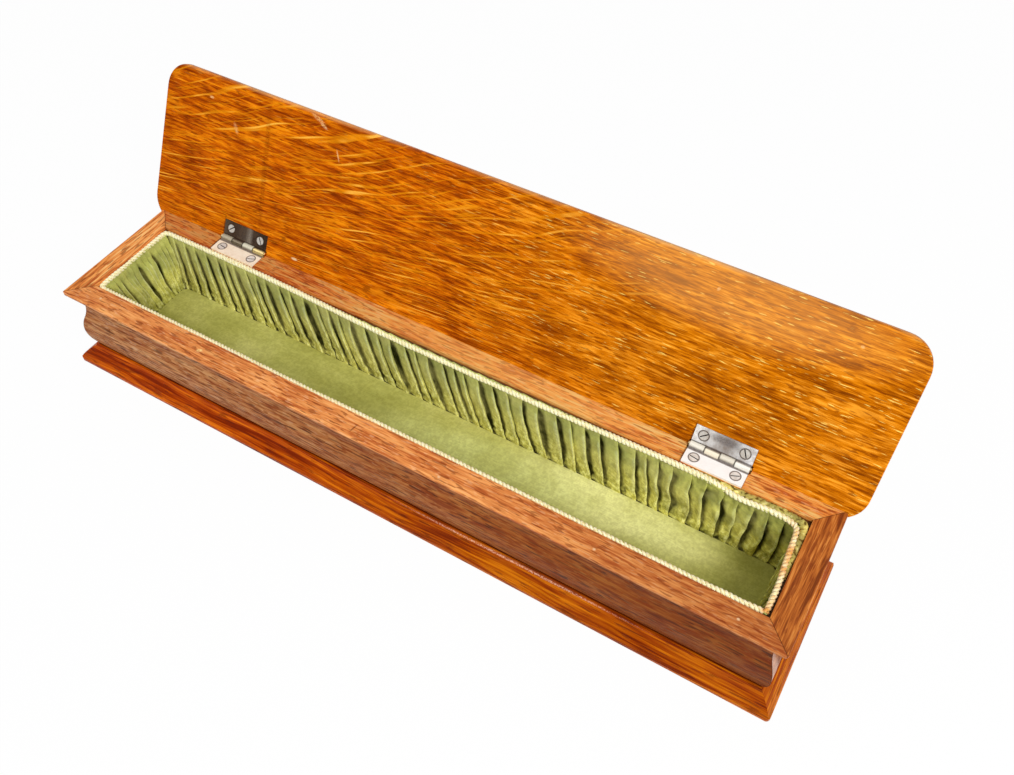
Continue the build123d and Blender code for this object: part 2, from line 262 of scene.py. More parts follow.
class Effects:
    """The shader effects that several finishes share, each a node group built once."""

    FLOAT = "NodeSocketFloat"
    VECTOR = "NodeSocketVector"

    def __init__(self) -> None:
        """Builds every shared group."""
        self.figure = self._figure()
        self.pores = self._pores()
        self.mark = self._mark()
        self.weave = self._weave()
        self.patina = self._patina()

    def _group(
        self, name: str, inputs: dict[str, object], outputs: Sequence[str]
    ) -> tuple[Bench, Node, Node]:
        """Starts a group.

        Args:
            name: The group's name.
            inputs: Each input's name and default, a number, or None for a vector.
            outputs: The names of the numbers that it puts out.

        Returns:
            A bench on the group, its input node and its output node.
        """
        tree = bpy.data.node_groups.new(name, "ShaderNodeTree")
        for label, default in inputs.items():
            kind = self.VECTOR if default is None else self.FLOAT
            socket = tree.interface.new_socket(name=label, in_out="INPUT", socket_type=kind)
            if default is not None:
                socket.default_value = default
        for label in outputs:
            tree.interface.new_socket(name=label, in_out="OUTPUT", socket_type=self.FLOAT)
        bench = Bench(tree)
        return bench, bench.node("NodeGroupInput"), bench.node("NodeGroupOutput")

    def _figure(self) -> Tree:
        """Streaks, broad bands and mottle that run along a board, each at several sizes at once."""
        sizes = {"Streak Length": 10.0, "Streak Width": 0.8, "Band Width": 8.0}
        bench, given, result = self._group(
            "board figure", {"Vector": None, **sizes}, ("Tone", "Fibre")
        )
        board = given.outputs["Vector"]
        length = given.outputs["Streak Length"]
        bend = bench.cloud(board, (70.0, 16.0, 16.0), 1.0)
        bend = bench.times(bench.minus(bend, 0.5), 5.0)
        board = bench.vector("ADD", board, bench.join(0.0, bend, bend))

        def layer(stretch: float, width: Socket, detail: float, weight: float) -> Socket:
            """One layer of the figure, centred on 0."""
            size = bench.join(bench.times(length, stretch), width, width)
            cloud = bench.cloud(board, size, detail, 0.7)
            return bench.times(bench.minus(cloud, 0.5), weight)

        width = given.outputs["Streak Width"]
        streak = layer(3.2, bench.times(width, 2.0), 4.0, 2.1)
        band = layer(6.0, given.outputs["Band Width"], 2.0, 1.1)
        fibre = layer(1.1, width, 1.0, 1.2)
        mottle = layer(2.2, bench.times(width, 6.0), 2.0, 0.6)
        tone = bench.plus(bench.plus(streak, band), bench.plus(fibre, mottle))
        bench.feed(result.inputs["Tone"], bench.plus(tone, 0.5))
        bench.feed(result.inputs["Fibre"], fibre)
        return bench.tree

    def _pores(self) -> Tree:
        """The short dashes of a ring-porous wood's open pores."""
        bench, given, result = self._group(
            "open pores", {"Vector": None, "Length": 4.0, "Width": 0.4, "Scarcity": 0.62}, ("Mask",)
        )
        width = given.outputs["Width"]
        size = bench.join(given.outputs["Length"], width, width)
        cloud = bench.noise(bench.vector("DIVIDE", given.outputs["Vector"], size), 1.0)
        low = given.outputs["Scarcity"]
        bench.feed(result.inputs["Mask"], bench.step(cloud, low, bench.plus(low, 0.07)))
        return bench.tree

    def _mark(self) -> Tree:
        """One soft-edged mark, ragged inside, at a place on a surface."""
        bench, given, result = self._group(
            "surface mark",
            {"Vector": None, "Place": None, "Turn": None, "Reach": None, "Ragged": 0.5},
            ("Mask",),
        )
        mapping = bench.node("ShaderNodeMapping", vector_type="TEXTURE")
        for name, label in (("Location", "Place"), ("Rotation", "Turn"), ("Scale", "Reach")):
            bench.feed(mapping.inputs[name], given.outputs[label])
        bench.feed(mapping.inputs["Vector"], given.outputs["Vector"])
        away = bench.vector("LENGTH", mapping.outputs[0])
        body = bench.step(away, 1.0, 0.35)
        scratch = bench.noise(bench.vector("MULTIPLY", given.outputs["Vector"], (1.6, 2.4, 2.4)), 3.0)
        gaps = bench.times(bench.step(scratch, 0.6, 0.42), given.outputs["Ragged"])
        bench.feed(
            result.inputs["Mask"], bench.times(body, bench.minus(1.0, gaps))
        )
        return bench.tree

    def _weave(self) -> Tree:
        """Slubby silk threads both ways, on a cloth's own millimetres."""
        bench, given, result = self._group(
            "silk weave", {"Vector": None, "Thread": 0.35}, ("Height", "Slub")
        )
        cloth = given.outputs["Vector"]
        across, up, _ = bench.split(cloth)
        turns = bench.math("DIVIDE", math.tau, given.outputs["Thread"])
        warp = bench.math("SINE", bench.times(across, turns))
        weft = bench.math("SINE", bench.times(up, turns))
        slub = bench.cloud(cloth, (4.0, 0.5, 1.0), 2.0)
        fold = bench.cloud(cloth, (0.9, 1.4, 1.0), 2.0)
        threads = bench.times(bench.times(warp, weft), 0.18)
        both = bench.plus(slub, fold)
        bench.feed(result.inputs["Height"], bench.plus(threads, both))
        bench.feed(result.inputs["Slub"], bench.times(both, 0.5))
        return bench.tree

    def _patina(self) -> Tree:
        """Cloudy patches of age, with a size in millimetres."""
        bench, given, result = self._group("patina", {"Vector": None, "Size": 6.0}, ("Mask", "Fine"))
        size = given.outputs["Size"]
        scaled = bench.vector("DIVIDE", given.outputs["Vector"], bench.join(size, size, size))
        cloud = bench.noise(scaled, 4.0, 0.65)
        bench.feed(result.inputs["Mask"], bench.step(cloud, 0.38, 0.66))
        fine = bench.noise(bench.vector("MULTIPLY", scaled, (9.0, 9.0, 9.0)), 2.0)
        bench.feed(result.inputs["Fine"], fine)
        return bench.tree


class Grain(Enum):
    """Which way a board's grain runs: where its own frame stands, in degrees about X, Y and Z."""

    ALONG = (0.0, 0.0, 0.0)
    ACROSS = (0.0, 0.0, 90.0)
    LID = (60.0, 0.0, 0.0)


@dataclass(frozen=True)
class Mark:
    """A dent, scuff, stain or filled hole, in a surface's own millimetres.

    It has a centre, a reach each way and a turn in degrees. The level and the depth say how far
    through the piece it shows, and ragged says how much of it is worn away.
    """

    place: tuple[float, float]
    reach: tuple[float, float]
    turn: float
    tint: Colour
    strength: float = 0.7
    ragged: float = 0.5
    level: float = 0.0
    deep: float = 400.0


@dataclass(frozen=True)
class Dashes:
    """Short dashes along the grain: their length and width, how rare they are and how strong."""

    size: tuple[float, float]
    scarcity: float
    share: float
    shift: Triple = (0.0, 0.0, 0.0)

    def mask(self, bench: Bench, effects: Effects, wood: Socket) -> Socket:
        """Where the dashes are, at full strength."""
        length, width = self.size
        place = bench.vector("ADD", wood, self.shift)
        dashes = bench.place(
            effects.pores, Vector=place, Length=length, Width=width, Scarcity=self.scarcity
        )
        return dashes.outputs[0]


class Finish:
    """What every finish does: starts a material and sets its plain values."""

    def start(self, name: str, **plain: object) -> tuple[Bench, Node, Material]:
        """Starts a material.

        Args:
            name: The material's name.
            plain: Values that are the same all over, by socket name with _ for a space.

        Returns:
            A bench on its nodes, its shader and the material.
        """
        material = bpy.data.materials.new(name)
        material.use_nodes = True
        shader = material.node_tree.nodes["Principled BSDF"]
        for socket, value in plain.items():
            shader.inputs[socket.replace("_", " ")].default_value = value
        return Bench(material.node_tree), shader, material

    def millimetres(
        self, bench: Bench, grain: Grain = Grain.ALONG, hinge: Optional[Vector] = None
    ) -> Socket:
        """A piece's own place in millimetres, along, across and through a board."""
        mapping = bench.node("ShaderNodeMapping", vector_type="TEXTURE")
        mapping.inputs["Location"].default_value = hinge or Vector()
        mapping.inputs["Rotation"].default_value = [math.radians(turn) for turn in grain.value]
        mapping.inputs["Scale"].default_value = (MM, MM, MM)
        where = bench.node("ShaderNodeTexCoord").outputs["Object"]
        bench.feed(mapping.inputs["Vector"], where)
        return mapping.outputs[0]

    def close(
        self, bench: Bench, shader: Node, tint: Feed, rough: Feed, normal: Feed
    ) -> None:
        """Gives the shader the colour, roughness and normal that change over the surface."""
        for name, value in (("Base Color", tint), ("Roughness", rough), ("Normal", normal)):
            bench.feed(shader.inputs[name], value)

    def marked(
        self, bench: Bench, effects: Effects, board: Socket, tint: Socket, marks: Iterable[Mark]
    ) -> Socket:
        """Lays marks over a surface's colour.

        Args:
            bench: Where the nodes go.
            effects: The shared effects.
            board: The place on the board.
            tint: The colour so far.
            marks: The marks.

        Returns:
            The colour with the marks on it.
        """
        for mark in marks:
            spot = bench.place(
                effects.mark,
                Vector=board,
                Place=(*mark.place, mark.level),
                Turn=(0.0, 0.0, math.radians(mark.turn)),
                Reach=(*mark.reach, mark.deep),
                Ragged=mark.ragged,
            )
            share = bench.times(spot.outputs[0], mark.strength)
            tint = bench.mix(share, tint, mark.tint)
        return tint


@dataclass(frozen=True)
class OakFinish(Finish):
    """Polished oak for the body and the base plate.

    The tones run from the darkest streak to the palest. The ends tint the board from one end
    place to the other. The face below the rail gets painted shade that changes the same way,
    lighter at the left end, where it also stands for a painted reflection. The joint is how much
    longer than deep the rim is, on either side of the middle, and draws the mitres.
    The foot is where the walls stand on the base plate; a painted shadow runs round it.
    """

    name: str
    grain: Grain
    tones: tuple[Colour, ...]
    pore: Colour
    tone_places: tuple[float, ...] = (0.14, 0.4, 0.6, 0.88)
    streak: tuple[float, float] = (7.0, 0.7)
    band: float = 6.0
    offset: float = 0.0
    offset_shares: Triple = (1.0, 0.37, 0.61)
    pores: Dashes = Dashes((6.0, 1.05), 0.575, 0.58)
    lines: Dashes = Dashes((11.0, 0.62), 0.55, 0.16, (9.0, 40.0, 23.0))
    glints: Dashes = Dashes((4.5, 0.8), 0.6, 0.3, (51.0, 23.0, 7.0))
    glinting: bool = False
    glint: Colour = colour(255, 206, 156)
    grooves: Dashes = Dashes((9.0, 0.85), 0.55, 0.9)
    groove: Colour = colour(70, 32, 14)
    groove_clusters: Triple = (26.0, 6.0, 6.0)
    roughness: float = 0.4
    specular: float = 0.12
    ends: tuple[Colour, ...] = (WHITE, WHITE)
    end_places: tuple[float, float] = (-150.0, 150.0)
    moulded_shade_and_sheen: tuple[Colour, ...] = ()
    moulded_places: tuple[float, float] = (-150.0, 90.0)
    moulded_below: tuple[float, float] = (44.4, 43.2)
    mitred: tuple[float, ...] = ()
    mitred_shift: Triple = (70.0, 30.0, 90.0)
    joint: float = 0.0
    joint_edge: tuple[float, float] = (0.5, 0.1)
    joint_share: float = 0.45
    joint_tint: Colour = colour(84, 34, 10)
    foot: tuple[float, ...] = ()
    foot_shadow_edge: tuple[float, float] = (1.1, 0.2)
    foot_shadow_share: float = 0.9
    foot_shadow_tint: Colour = colour(64, 10, 0)
    wear_size: float = 14.0
    relief: float = 0.05
    marks: tuple[Mark, ...] = ()

    def build(self, effects: Effects) -> Material:
        """Makes the material."""
        bench, shader, material = self.start(self.name, Specular_IOR_Level=self.specular)
        board = self.millimetres(bench, self.grain)
        wood = self._mitre(bench, board) if self.mitred else board
        wood = bench.vector("ADD", wood, tuple(self.offset * share for share in self.offset_shares))
        length, width = self.streak
        figure = bench.place(
            effects.figure, Vector=wood, Streak_Length=length, Streak_Width=width, Band_Width=self.band
        )
        tint = bench.ramp(figure.outputs["Tone"], tuple(zip(self.tone_places, self.tones)))
        if self.glinting:
            glints = self.glints.mask(bench, effects, wood)
            tint = bench.mix(bench.times(glints, self.glints.share), tint, self.glint)
        along = bench.split(board)[0]
        ends = bench.mix(bench.step(along, *self.end_places), *self.ends)
        tint = bench.mix(1.0, tint, ends, "MULTIPLY")
        if self.moulded_shade_and_sheen:
            tint = self._moulding(bench, effects, board, wood, tint)
        pores = self.pores.mask(bench, effects, wood)
        lines = self.lines.mask(bench, effects, wood)
        tint = bench.mix(bench.times(pores, self.pores.share), tint, self.pore)
        tint = bench.mix(bench.times(lines, self.lines.share), tint, self.pore)
        tint = self.marked(bench, effects, board, self._outlines(bench, tint), self.marks)
        wear = bench.place(effects.patina, Vector=wood, Size=self.wear_size)
        rough = bench.scaled(pores, 0.25, bench.scaled(wear.outputs["Mask"], 0.12, self.roughness))
        relief = bench.minus(bench.times(figure.outputs["Fibre"], 0.4), pores)
        self.close(bench, shader, tint, rough, bench.bump(relief, self.relief))
        return material

    def _mitre(self, bench: Bench, board: Socket) -> Socket:
        """Turns the grain across the board beyond the mitres at its two ends."""
        along, across, _ = bench.split(board)
        from_end = bench.minus(self.mitred[0], bench.size_of(along))
        from_edge = bench.minus(self.mitred[1], bench.size_of(across))
        turned = self.millimetres(bench, Grain.ACROSS)
        node = bench.node("ShaderNodeMix", data_type="VECTOR")
        bench.feed(node.inputs[0], bench.math("LESS_THAN", from_end, from_edge))
        bench.feed(node.inputs[4], board)
        bench.feed(node.inputs[5], bench.vector("ADD", turned, self.mitred_shift))
        return node.outputs[1]

    def _moulding(
        self, bench: Bench, effects: Effects, board: Socket, wood: Socket, tint: Socket
    ) -> Socket:
        """Paints shade on the face below the rail and opens the grooves in its grain."""
        along, _, up = bench.split(board)
        # Painted shade on the face below the rail, lighter at the left where it stands for a painted
        # reflection.
        shaded = bench.step(up, *self.moulded_below)
        shade = bench.mix(bench.step(along, *self.moulded_places), *self.moulded_shade_and_sheen)
        tint = bench.mix(shaded, tint, shade, "MULTIPLY")
        clusters = bench.step(bench.cloud(wood, self.groove_clusters, 2.0), 0.38, 0.6)
        clusters = bench.scaled(clusters, 0.5, 0.45)
        cut = bench.times(bench.times(shaded, clusters), self.grooves.mask(bench, effects, wood))
        return bench.mix(bench.times(cut, self.grooves.share), tint, self.groove)

    def _outlines(self, bench: Bench, tint: Socket) -> Socket:
        """Draws the joints of the mitres, and a painted shadow round the foot of the walls."""
        if not self.joint and not self.foot:
            return tint
        x, y, _ = bench.split(self.millimetres(bench))
        x, y = bench.size_of(x), bench.size_of(y)
        if self.joint:
            off = bench.size_of(bench.minus(bench.minus(x, y), self.joint))
            share = bench.times(bench.step(off, *self.joint_edge), self.joint_share)
            tint = bench.mix(share, tint, self.joint_tint)
        # A painted shadow round the foot of the walls.
        if self.foot:
            off = bench.largest(bench.minus(x, self.foot[0]), bench.minus(y, self.foot[1]))
            share = bench.times(bench.step(off, *self.foot_shadow_edge), self.foot_shadow_share)
            tint = bench.mix(share, tint, self.foot_shadow_tint)
        return tint


@dataclass(frozen=True)
class LidFinish(Finish):
    """Varnished quarter-sawn oak: curved ray flecks at the left, plain golden grain at the right."""

    name: str
    hinge: Triple
    tone_places: tuple[float, ...] = (0.06, 0.38, 0.6, 0.92)
    left_tones: tuple[Colour, ...] = colours((140, 51, 0), (185, 82, 0), (213, 107, 0), (243, 142, 12))
    right_tones: tuple[Colour, ...] = colours(
        (138, 66, 0), (186, 100, 0), (212, 122, 4), (244, 158, 40)
    )
    golden_places: tuple[float, float] = (-20.0, 150.0)
    patches: tuple[Colour, ...] = colours((206, 192, 186), (266, 266, 266))
    fleck: Colour = colour(234, 144, 8)
    bright_fleck: Colour = colour(252, 182, 66)
    fleck_start: float = 5.0
    fleck_climb: float = 0.006
    fleck_places: tuple[float, float] = (120.0, -30.0)
    dark_pore: Colour = colour(122, 48, 0)
    dark_pores: Dashes = Dashes((6.0, 0.95), 0.58, 0.6)
    light_pore: Colour = colour(255, 222, 112)
    light_pores: Dashes = Dashes((6.0, 0.55), 0.645, 0.76, (31.0, 17.0, 5.0))
    worn_places: tuple[float, float] = (70.4, 71.9)
    worn: Colour = colour(248, 190, 120)
    wear_size: float = 18.0
    relief: float = 0.02
    marks: tuple[Mark, ...] = ()

    def _flecks(self, bench: Bench, board: Socket) -> tuple[Socket, Socket, Socket]:
        """Ray flecks: thin lines that climb to the right and steepen as they go.

        Args:
            bench: Where the nodes go.
            board: The place on the board.

        Returns:
            The flecks, their bright cores, and the dark ones between them.
        """
        along, up, inward = bench.split(board)
        height = bench.largest(bench.plus(up, self.fleck_start), 0.5)
        waver = bench.cloud(board, (48.0, 20.0, 20.0), 1.0)
        rise = bench.math("LOGARITHM", height, math.e)
        rise = bench.minus(rise, bench.times(along, self.fleck_climb))
        rise = bench.plus(rise, bench.times(waver, 0.12))
        deep = bench.math("DIVIDE", inward, 4.0)

        def lines(thickness: float, length: float, drift: float) -> Socket:
            """How much of one size of fleck there is."""
            across = bench.scaled(rise, 1.0 / thickness, drift)
            return bench.noise(bench.join(bench.math("DIVIDE", along, length), across, deep), 1.0)

        large = lines(0.034, 52.0, 0.0)
        small = bench.times(bench.step(lines(0.02, 22.0, 40.0), 0.6, 0.7), 0.7)
        fade = bench.step(along, *self.fleck_places)
        body = bench.times(bench.largest(bench.step(large, 0.58, 0.67), small), fade)
        core = bench.times(bench.step(large, 0.64, 0.72), fade)
        dark = bench.times(bench.step(lines(0.034, 24.0, 80.0), 0.6, 0.72), fade)
        return body, core, dark

    def build(self, effects: Effects) -> Material:
        """Makes the material."""
        bench, shader, material = self.start(self.name, Specular_IOR_Level=0.04)
        board = self.millimetres(bench, Grain.LID, Vector(self.hinge))
        along, up, _ = bench.split(board)
        figure = bench.place(
            effects.figure, Vector=board, Streak_Length=7.5, Streak_Width=0.7, Band_Width=8.0
        )
        cloud = bench.cloud(board, (60.0, 22.0, 30.0), 2.0)
        golden = bench.step(bench.plus(along, bench.times(cloud, 90.0)), *self.golden_places)
        left, right = (
            bench.ramp(figure.outputs["Tone"], tuple(zip(self.tone_places, tones)))
            for tones in (self.left_tones, self.right_tones)
        )
        tint = bench.mix(golden, left, right)
        patch = bench.step(bench.cloud(board, (17.0, 6.5, 9.0), 3.0, 0.6), 0.36, 0.62)
        tint = bench.mix(0.5, tint, bench.mix(patch, *self.patches), "MULTIPLY")
        dark = self.dark_pores.mask(bench, effects, board)
        tint = bench.mix(bench.times(dark, self.dark_pores.share), tint, self.dark_pore)
        flecks, cores, dark_flecks = self._flecks(bench, board)
        tint = bench.mix(bench.times(dark_flecks, 0.3), tint, self.dark_pore)
        gleam = bench.cloud(board, (14.0, 9.0, 9.0), 1.0)
        seen = bench.times(flecks, bench.scaled(gleam, 0.9, 0.25))
        tint = bench.mix(seen, tint, self.fleck)
        seen = bench.times(cores, bench.step(gleam, 0.42, 0.62))
        tint = bench.mix(seen, tint, self.bright_fleck)
        rows = bench.step(bench.cloud(board, (60.0, 3.0, 8.0), 1.0), 0.42, 0.54)
        light = bench.times(self.light_pores.mask(bench, effects, board), rows)
        share = bench.times(light, bench.scaled(golden, self.light_pores.share, 0.1))
        tint = bench.mix(share, tint, self.light_pore)
        tint = self.marked(bench, effects, board, tint, self.marks)
        edge = bench.times(bench.step(up, *self.worn_places), bench.step(cloud, 0.35, 0.6))
        tint = bench.mix(bench.times(edge, 0.45), tint, self.worn)
        wear = bench.place(effects.patina, Vector=board, Size=self.wear_size)
        rough = bench.scaled(wear.outputs["Mask"], 0.08, 0.26)
        relief = bench.minus(bench.times(figure.outputs["Fibre"], 0.35), dark)
        self.close(bench, shader, tint, rough, bench.bump(relief, self.relief))
        return material


@dataclass(frozen=True)
class SilkFinish(Finish):
    """Old green silk, paler where it stands out and dark in its folds.

    The cloth's size in millimetres scales the weave. Pleated, its folds get painted shade and its
    ridges a painted highlight. The rumples get painted light and shade, with a strength everywhere
    that gains the second number towards the right end.
    """

    name: str
    # On pleats the darkest tone is painted shade in the folds and the palest a painted highlight on the
    # ridges, partly also fading; flat, they are tones at random.
    dark_tint_and_fold_shade: Colour
    face_tint: Colour
    pale_tint_and_ridge_highlight: Colour
    aged_tint: Colour
    cloth: tuple[float, float]
    pleated: bool = True
    crushed: float = 5.0
    crush_size: Triple = (1.9, 1.9, 3.2)
    fold_places: tuple[float, ...] = (0.22, 0.52, 0.88, 0.97)
    flat_places: tuple[float, ...] = (0.3, 0.5, 0.72)
    flat_size: Triple = (38.0, 15.0, 15.0)
    rumple_shading: tuple[float, float] = (0.3, 0.5)
    rumple_size: Triple = (8.0, 8.0, 9.0)
    rumple_places: tuple[float, float] = (70.0, 130.0)
    rumple_light_and_shade: tuple[Colour, ...] = colours((186, 188, 150), (286, 284, 240))
    top_shade: Colour = colour(206, 214, 206)
    slub_and_crease_shade_tints: tuple[Colour, ...] = colours((176, 172, 96), (255, 255, 226))
    sheen: Colour = colour(226, 228, 150)
    relief: float = 0.06
    marks: tuple[Mark, ...] = ()

    def build(self, effects: Effects) -> Material:
        """Makes the material."""
        bench, shader, material = self.start(
            self.name,
            Sheen_Weight=0.04,
            Sheen_Roughness=0.35,
            Sheen_Tint=self.sheen,
            Specular_IOR_Level=0.12,
        )
        mapping = bench.node("ShaderNodeMapping")
        mapping.inputs["Scale"].default_value = (*self.cloth, 1.0)
        uv = bench.node("ShaderNodeUVMap", uv_map="cloth").outputs[0]
        bench.feed(mapping.inputs["Vector"], uv)
        weave = bench.place(effects.weave, Vector=mapping.outputs[0], Thread=0.4)
        where = self.millimetres(bench)
        age = bench.place(effects.patina, Vector=where, Size=16.0)
        crush = bench.cloud(where, self.crush_size, 2.0, 0.6)
        slub_share: Feed = 0.34
        if self.pleated:
            height = bench.split(uv)[1]
            tint = self._pleats(bench, where, height, crush)
            slub_share = bench.scaled(bench.step(height, 0.8, 0.1), 0.5, 0.3)
        else:
            stops = tuple(zip(self.flat_places, (self.dark_tint_and_fold_shade, self.face_tint, self.pale_tint_and_ridge_highlight)))
            tint = bench.ramp(bench.cloud(where, self.flat_size, 3.0), stops)
        tint = self.marked(bench, effects, where, tint, self.marks)
        tint = bench.mix(bench.times(age.outputs["Mask"], 0.35), tint, self.aged_tint)
        # The slubs darken the silk, and the small creases get painted shade.
        slub = bench.plus(weave.outputs["Slub"], bench.times(crush, 0.8))
        shade = bench.step(slub, 0.72, 1.1)
        tint = bench.mix(slub_share, tint, bench.mix(shade, *self.slub_and_crease_shade_tints), "MULTIPLY")
        relief = bench.scaled(crush, self.crushed, weave.outputs["Height"])
        rough = bench.scaled(shade, -0.1, 0.52)
        self.close(bench, shader, tint, rough, bench.bump(relief, self.relief))
        return material

    def _pleats(self, bench: Bench, where: Socket, height: Socket, crush: Socket) -> Socket:
        """The colour of pleated silk.

        Args:
            bench: Where the nodes go.
            where: The place in millimetres.
            height: How far up the sheet, from 0 to 1.
            crush: The small creases.

        Returns:
            The colour: painted shade in the folds and under the cord, a painted highlight
            on the ridges, painted light and shade over the rumples and a painted gleam at the foot.
        """
        fold = bench.node("ShaderNodeAttribute", attribute_name="fold").outputs["Fac"]
        tints = (self.dark_tint_and_fold_shade, self.face_tint, self.face_tint, self.pale_tint_and_ridge_highlight)
        tint = bench.ramp(fold, tuple(zip(self.fold_places, tints)))
        tint = bench.mix(bench.step(height, 0.35, 0.85), tint, self.top_shade, "MULTIPLY")
        # A painted gleam on the crumples near the foot.
        gleam = bench.times(bench.step(height, 0.6, 0.05), bench.step(crush, 0.5, 0.68))
        gleam = bench.times(gleam, bench.step(fold, 0.3, 0.7))
        # Painted light and shade over the rumples, stronger towards the right end.
        patch = bench.step(bench.cloud(where, self.rumple_size, 2.0), 0.36, 0.64)
        patch = bench.mix(patch, *self.rumple_light_and_shade)
        even, gain = self.rumple_shading
        rumpled = bench.scaled(bench.step(bench.split(where)[0], *self.rumple_places), gain, even)
        tint = bench.mix(rumpled, tint, patch, "MULTIPLY")
        return bench.mix(bench.times(gleam, 0.6), tint, self.pale_tint_and_ridge_highlight)


@dataclass(frozen=True)
class CordFinish(Finish):
    """Cream cotton cord, with rust on it from a place near the right end."""

    name: str
    yarn: Colour = colour(255, 252, 214)
    shade: Colour = colour(238, 222, 156)
    rust: Colour = colour(232, 156, 50)
    rust_places: tuple[float, float] = (150.0, 159.0)
    fibre_scale: Triple = (9.0, 1.5, 1.0)
    relief: float = 0.08
    marks: tuple[Mark, ...] = ()

    def build(self, effects: Effects) -> Material:
        """Makes the material."""
        bench, shader, material = self.start(self.name, Sheen_Weight=0.3, Specular_IOR_Level=0.2)
        where = self.millimetres(bench)
        age = bench.place(effects.patina, Vector=where, Size=5.0)
        uv = bench.node("ShaderNodeUVMap", uv_map="cloth").outputs[0]
        fibre = bench.noise(bench.vector("MULTIPLY", uv, self.fibre_scale), 2.0)
        tint = bench.mix(bench.step(fibre, 0.35, 0.6), self.shade, self.yarn)
        stained = bench.step(bench.split(where)[0], *self.rust_places)
        share = bench.times(stained, bench.scaled(age.outputs["Mask"], 0.7, 0.06))
        tint = bench.mix(share, tint, self.rust)
        tint = self.marked(bench, effects, where, tint, self.marks)
        rough = bench.scaled(fibre, 0.2, 0.7)
        self.close(bench, shader, tint, rough, bench.bump(fibre, self.relief))
        return material


@dataclass(frozen=True)
class PlateFinish(Finish):
    """Plated or plain metal, with fine scratches, tarnish, dirt, and painted shade in its hollows.

    The stripes and the knuckles' tints run along the piece, by share of its length from its
    start; on the lid leaves the stripes are painted reflections. The face is the level that the
    knuckles rise from and the slots are cut into.
    """

    name: str
    metal: Colour
    tarnish: Colour
    tarnish_share: float = 0.35
    tarnish_size: float = 3.2
    roughness: float = 0.2
    metallic: float = 1.0
    start_x: float = 0.0
    length: float = 1.0
    stripes: tuple[tuple[float, Colour], ...] = ()
    knuckles: tuple[tuple[float, Colour], ...] = ()
    knuckle_from: float = 0.35
    knuckle_blend: float = 0.15
    grain: Grain = Grain.ALONG
    hinge: Optional[Vector] = None
    face: float = 0.0
    slot_depth: float = 0.0
    slot_shares: tuple[float, float] = (0.3, 0.6)
    slot_shade: Colour = colour(40, 30, 22)
    rings: Stops = ()
    ring_radius: float = 2.15
    ring_edge: tuple[float, float] = (0.42, 0.08)
    ring_share: float = 0.85
    ring_grime_and_shade: Colour = colour(74, 50, 34)
    scratch_scale: Triple = (0.3, 5.0, 5.0)
    relief: float = 0.004
    marks: tuple[Mark, ...] = ()

    def build(self, effects: Effects) -> Material:
        """Makes the material."""
        bench, shader, material = self.start(self.name, Metallic=self.metallic)
        where = self.millimetres(bench, self.grain, self.hinge)
        along, _, up = bench.split(where)
        age = bench.place(effects.patina, Vector=where, Size=self.tarnish_size)
        share = bench.scaled(along, 1 / self.length, -self.start_x / self.length)
        tint = bench.ramp(share, self.stripes) if self.stripes else self.metal
        tarnished = bench.times(age.outputs["Mask"], self.tarnish_share)
        tint = bench.mix(tarnished, tint, self.tarnish)
        if self.knuckles:
            low = self.face + self.knuckle_from
            barrel = bench.step(up, low, low + self.knuckle_blend)
            tint = bench.mix(barrel, tint, bench.ramp(share, self.knuckles))
        tint = self.marked(bench, effects, where, tint, self.marks)
        # Dark rings round the screw heads: dirt, and painted shade in the gap.
        for centre in self.rings:
            x, y, _ = bench.split(bench.vector("SUBTRACT", where, (*centre, 0.0)))
            away = bench.minus(bench.vector("LENGTH", bench.join(x, y)), self.ring_radius)
            ring = bench.step(bench.size_of(away), *self.ring_edge)
            tint = bench.mix(bench.times(ring, self.ring_share), tint, self.ring_grime_and_shade)
        # Painted shade in the bottom of the screw slots.
        if self.slot_depth:
            high, low = (self.face - share * self.slot_depth for share in self.slot_shares)
            tint = bench.mix(bench.step(up, high, low), tint, self.slot_shade)
        scratches = bench.noise(bench.vector("MULTIPLY", where, self.scratch_scale), 1.0)
        rough = bench.scaled(age.outputs["Mask"], 0.15, self.roughness)
        self.close(bench, shader, tint, rough, bench.bump(scratches, self.relief))
        return material


@dataclass(frozen=True)
class CardFinish(Finish):
    """Grey-brown card, dark as painted shade in the gap between the cord and the rail."""

    name: str
    light: Colour = colour(122, 92, 58)
    dark: Colour = colour(78, 54, 32)
    relief: float = 0.05

    def build(self, effects: Effects) -> Material:
        """Makes the material."""
        bench, shader, material = self.start(self.name, Specular_IOR_Level=0.2)
        age = bench.place(effects.patina, Vector=self.millimetres(bench), Size=4.0)
        tint = bench.mix(age.outputs["Mask"], self.light, self.dark)
        rough = bench.scaled(age.outputs["Fine"], 0.2, 0.75)
        self.close(bench, shader, tint, rough, bench.bump(age.outputs["Fine"], self.relief))
        return material


def deselect() -> None:
    """Leaves no object selected, so that an operator acts on the new piece alone."""
    if bpy.context.object and bpy.context.object.mode != "OBJECT":
        bpy.ops.object.mode_set(mode="OBJECT")
    bpy.ops.object.select_all(action="DESELECT")


def grid(name: str, across: int, down: int) -> Piece:
    """A flat sheet one unit wide, with the UV map that the cloth finishes read."""
    deselect()
    bpy.ops.mesh.primitive_grid_add(x_subdivisions=across, y_subdivisions=down, size=1.0)
    sheet = bpy.context.object
    sheet.name = name
    sheet.data.name = name
    sheet.data.uv_layers[0].name = "cloth"
    return sheet


def turn_outwards() -> None:
    """Makes every face of the piece at hand point outwards."""
    bpy.ops.object.mode_set(mode="EDIT")
    bpy.ops.mesh.select_all(action="SELECT")
    bpy.ops.mesh.normals_make_consistent(inside=False)
    bpy.ops.object.mode_set(mode="OBJECT")


def dress(piece: Piece, material: Material) -> None:
    """Gives a whole piece one material."""
    piece.data.materials.clear()
    piece.data.materials.append(material)


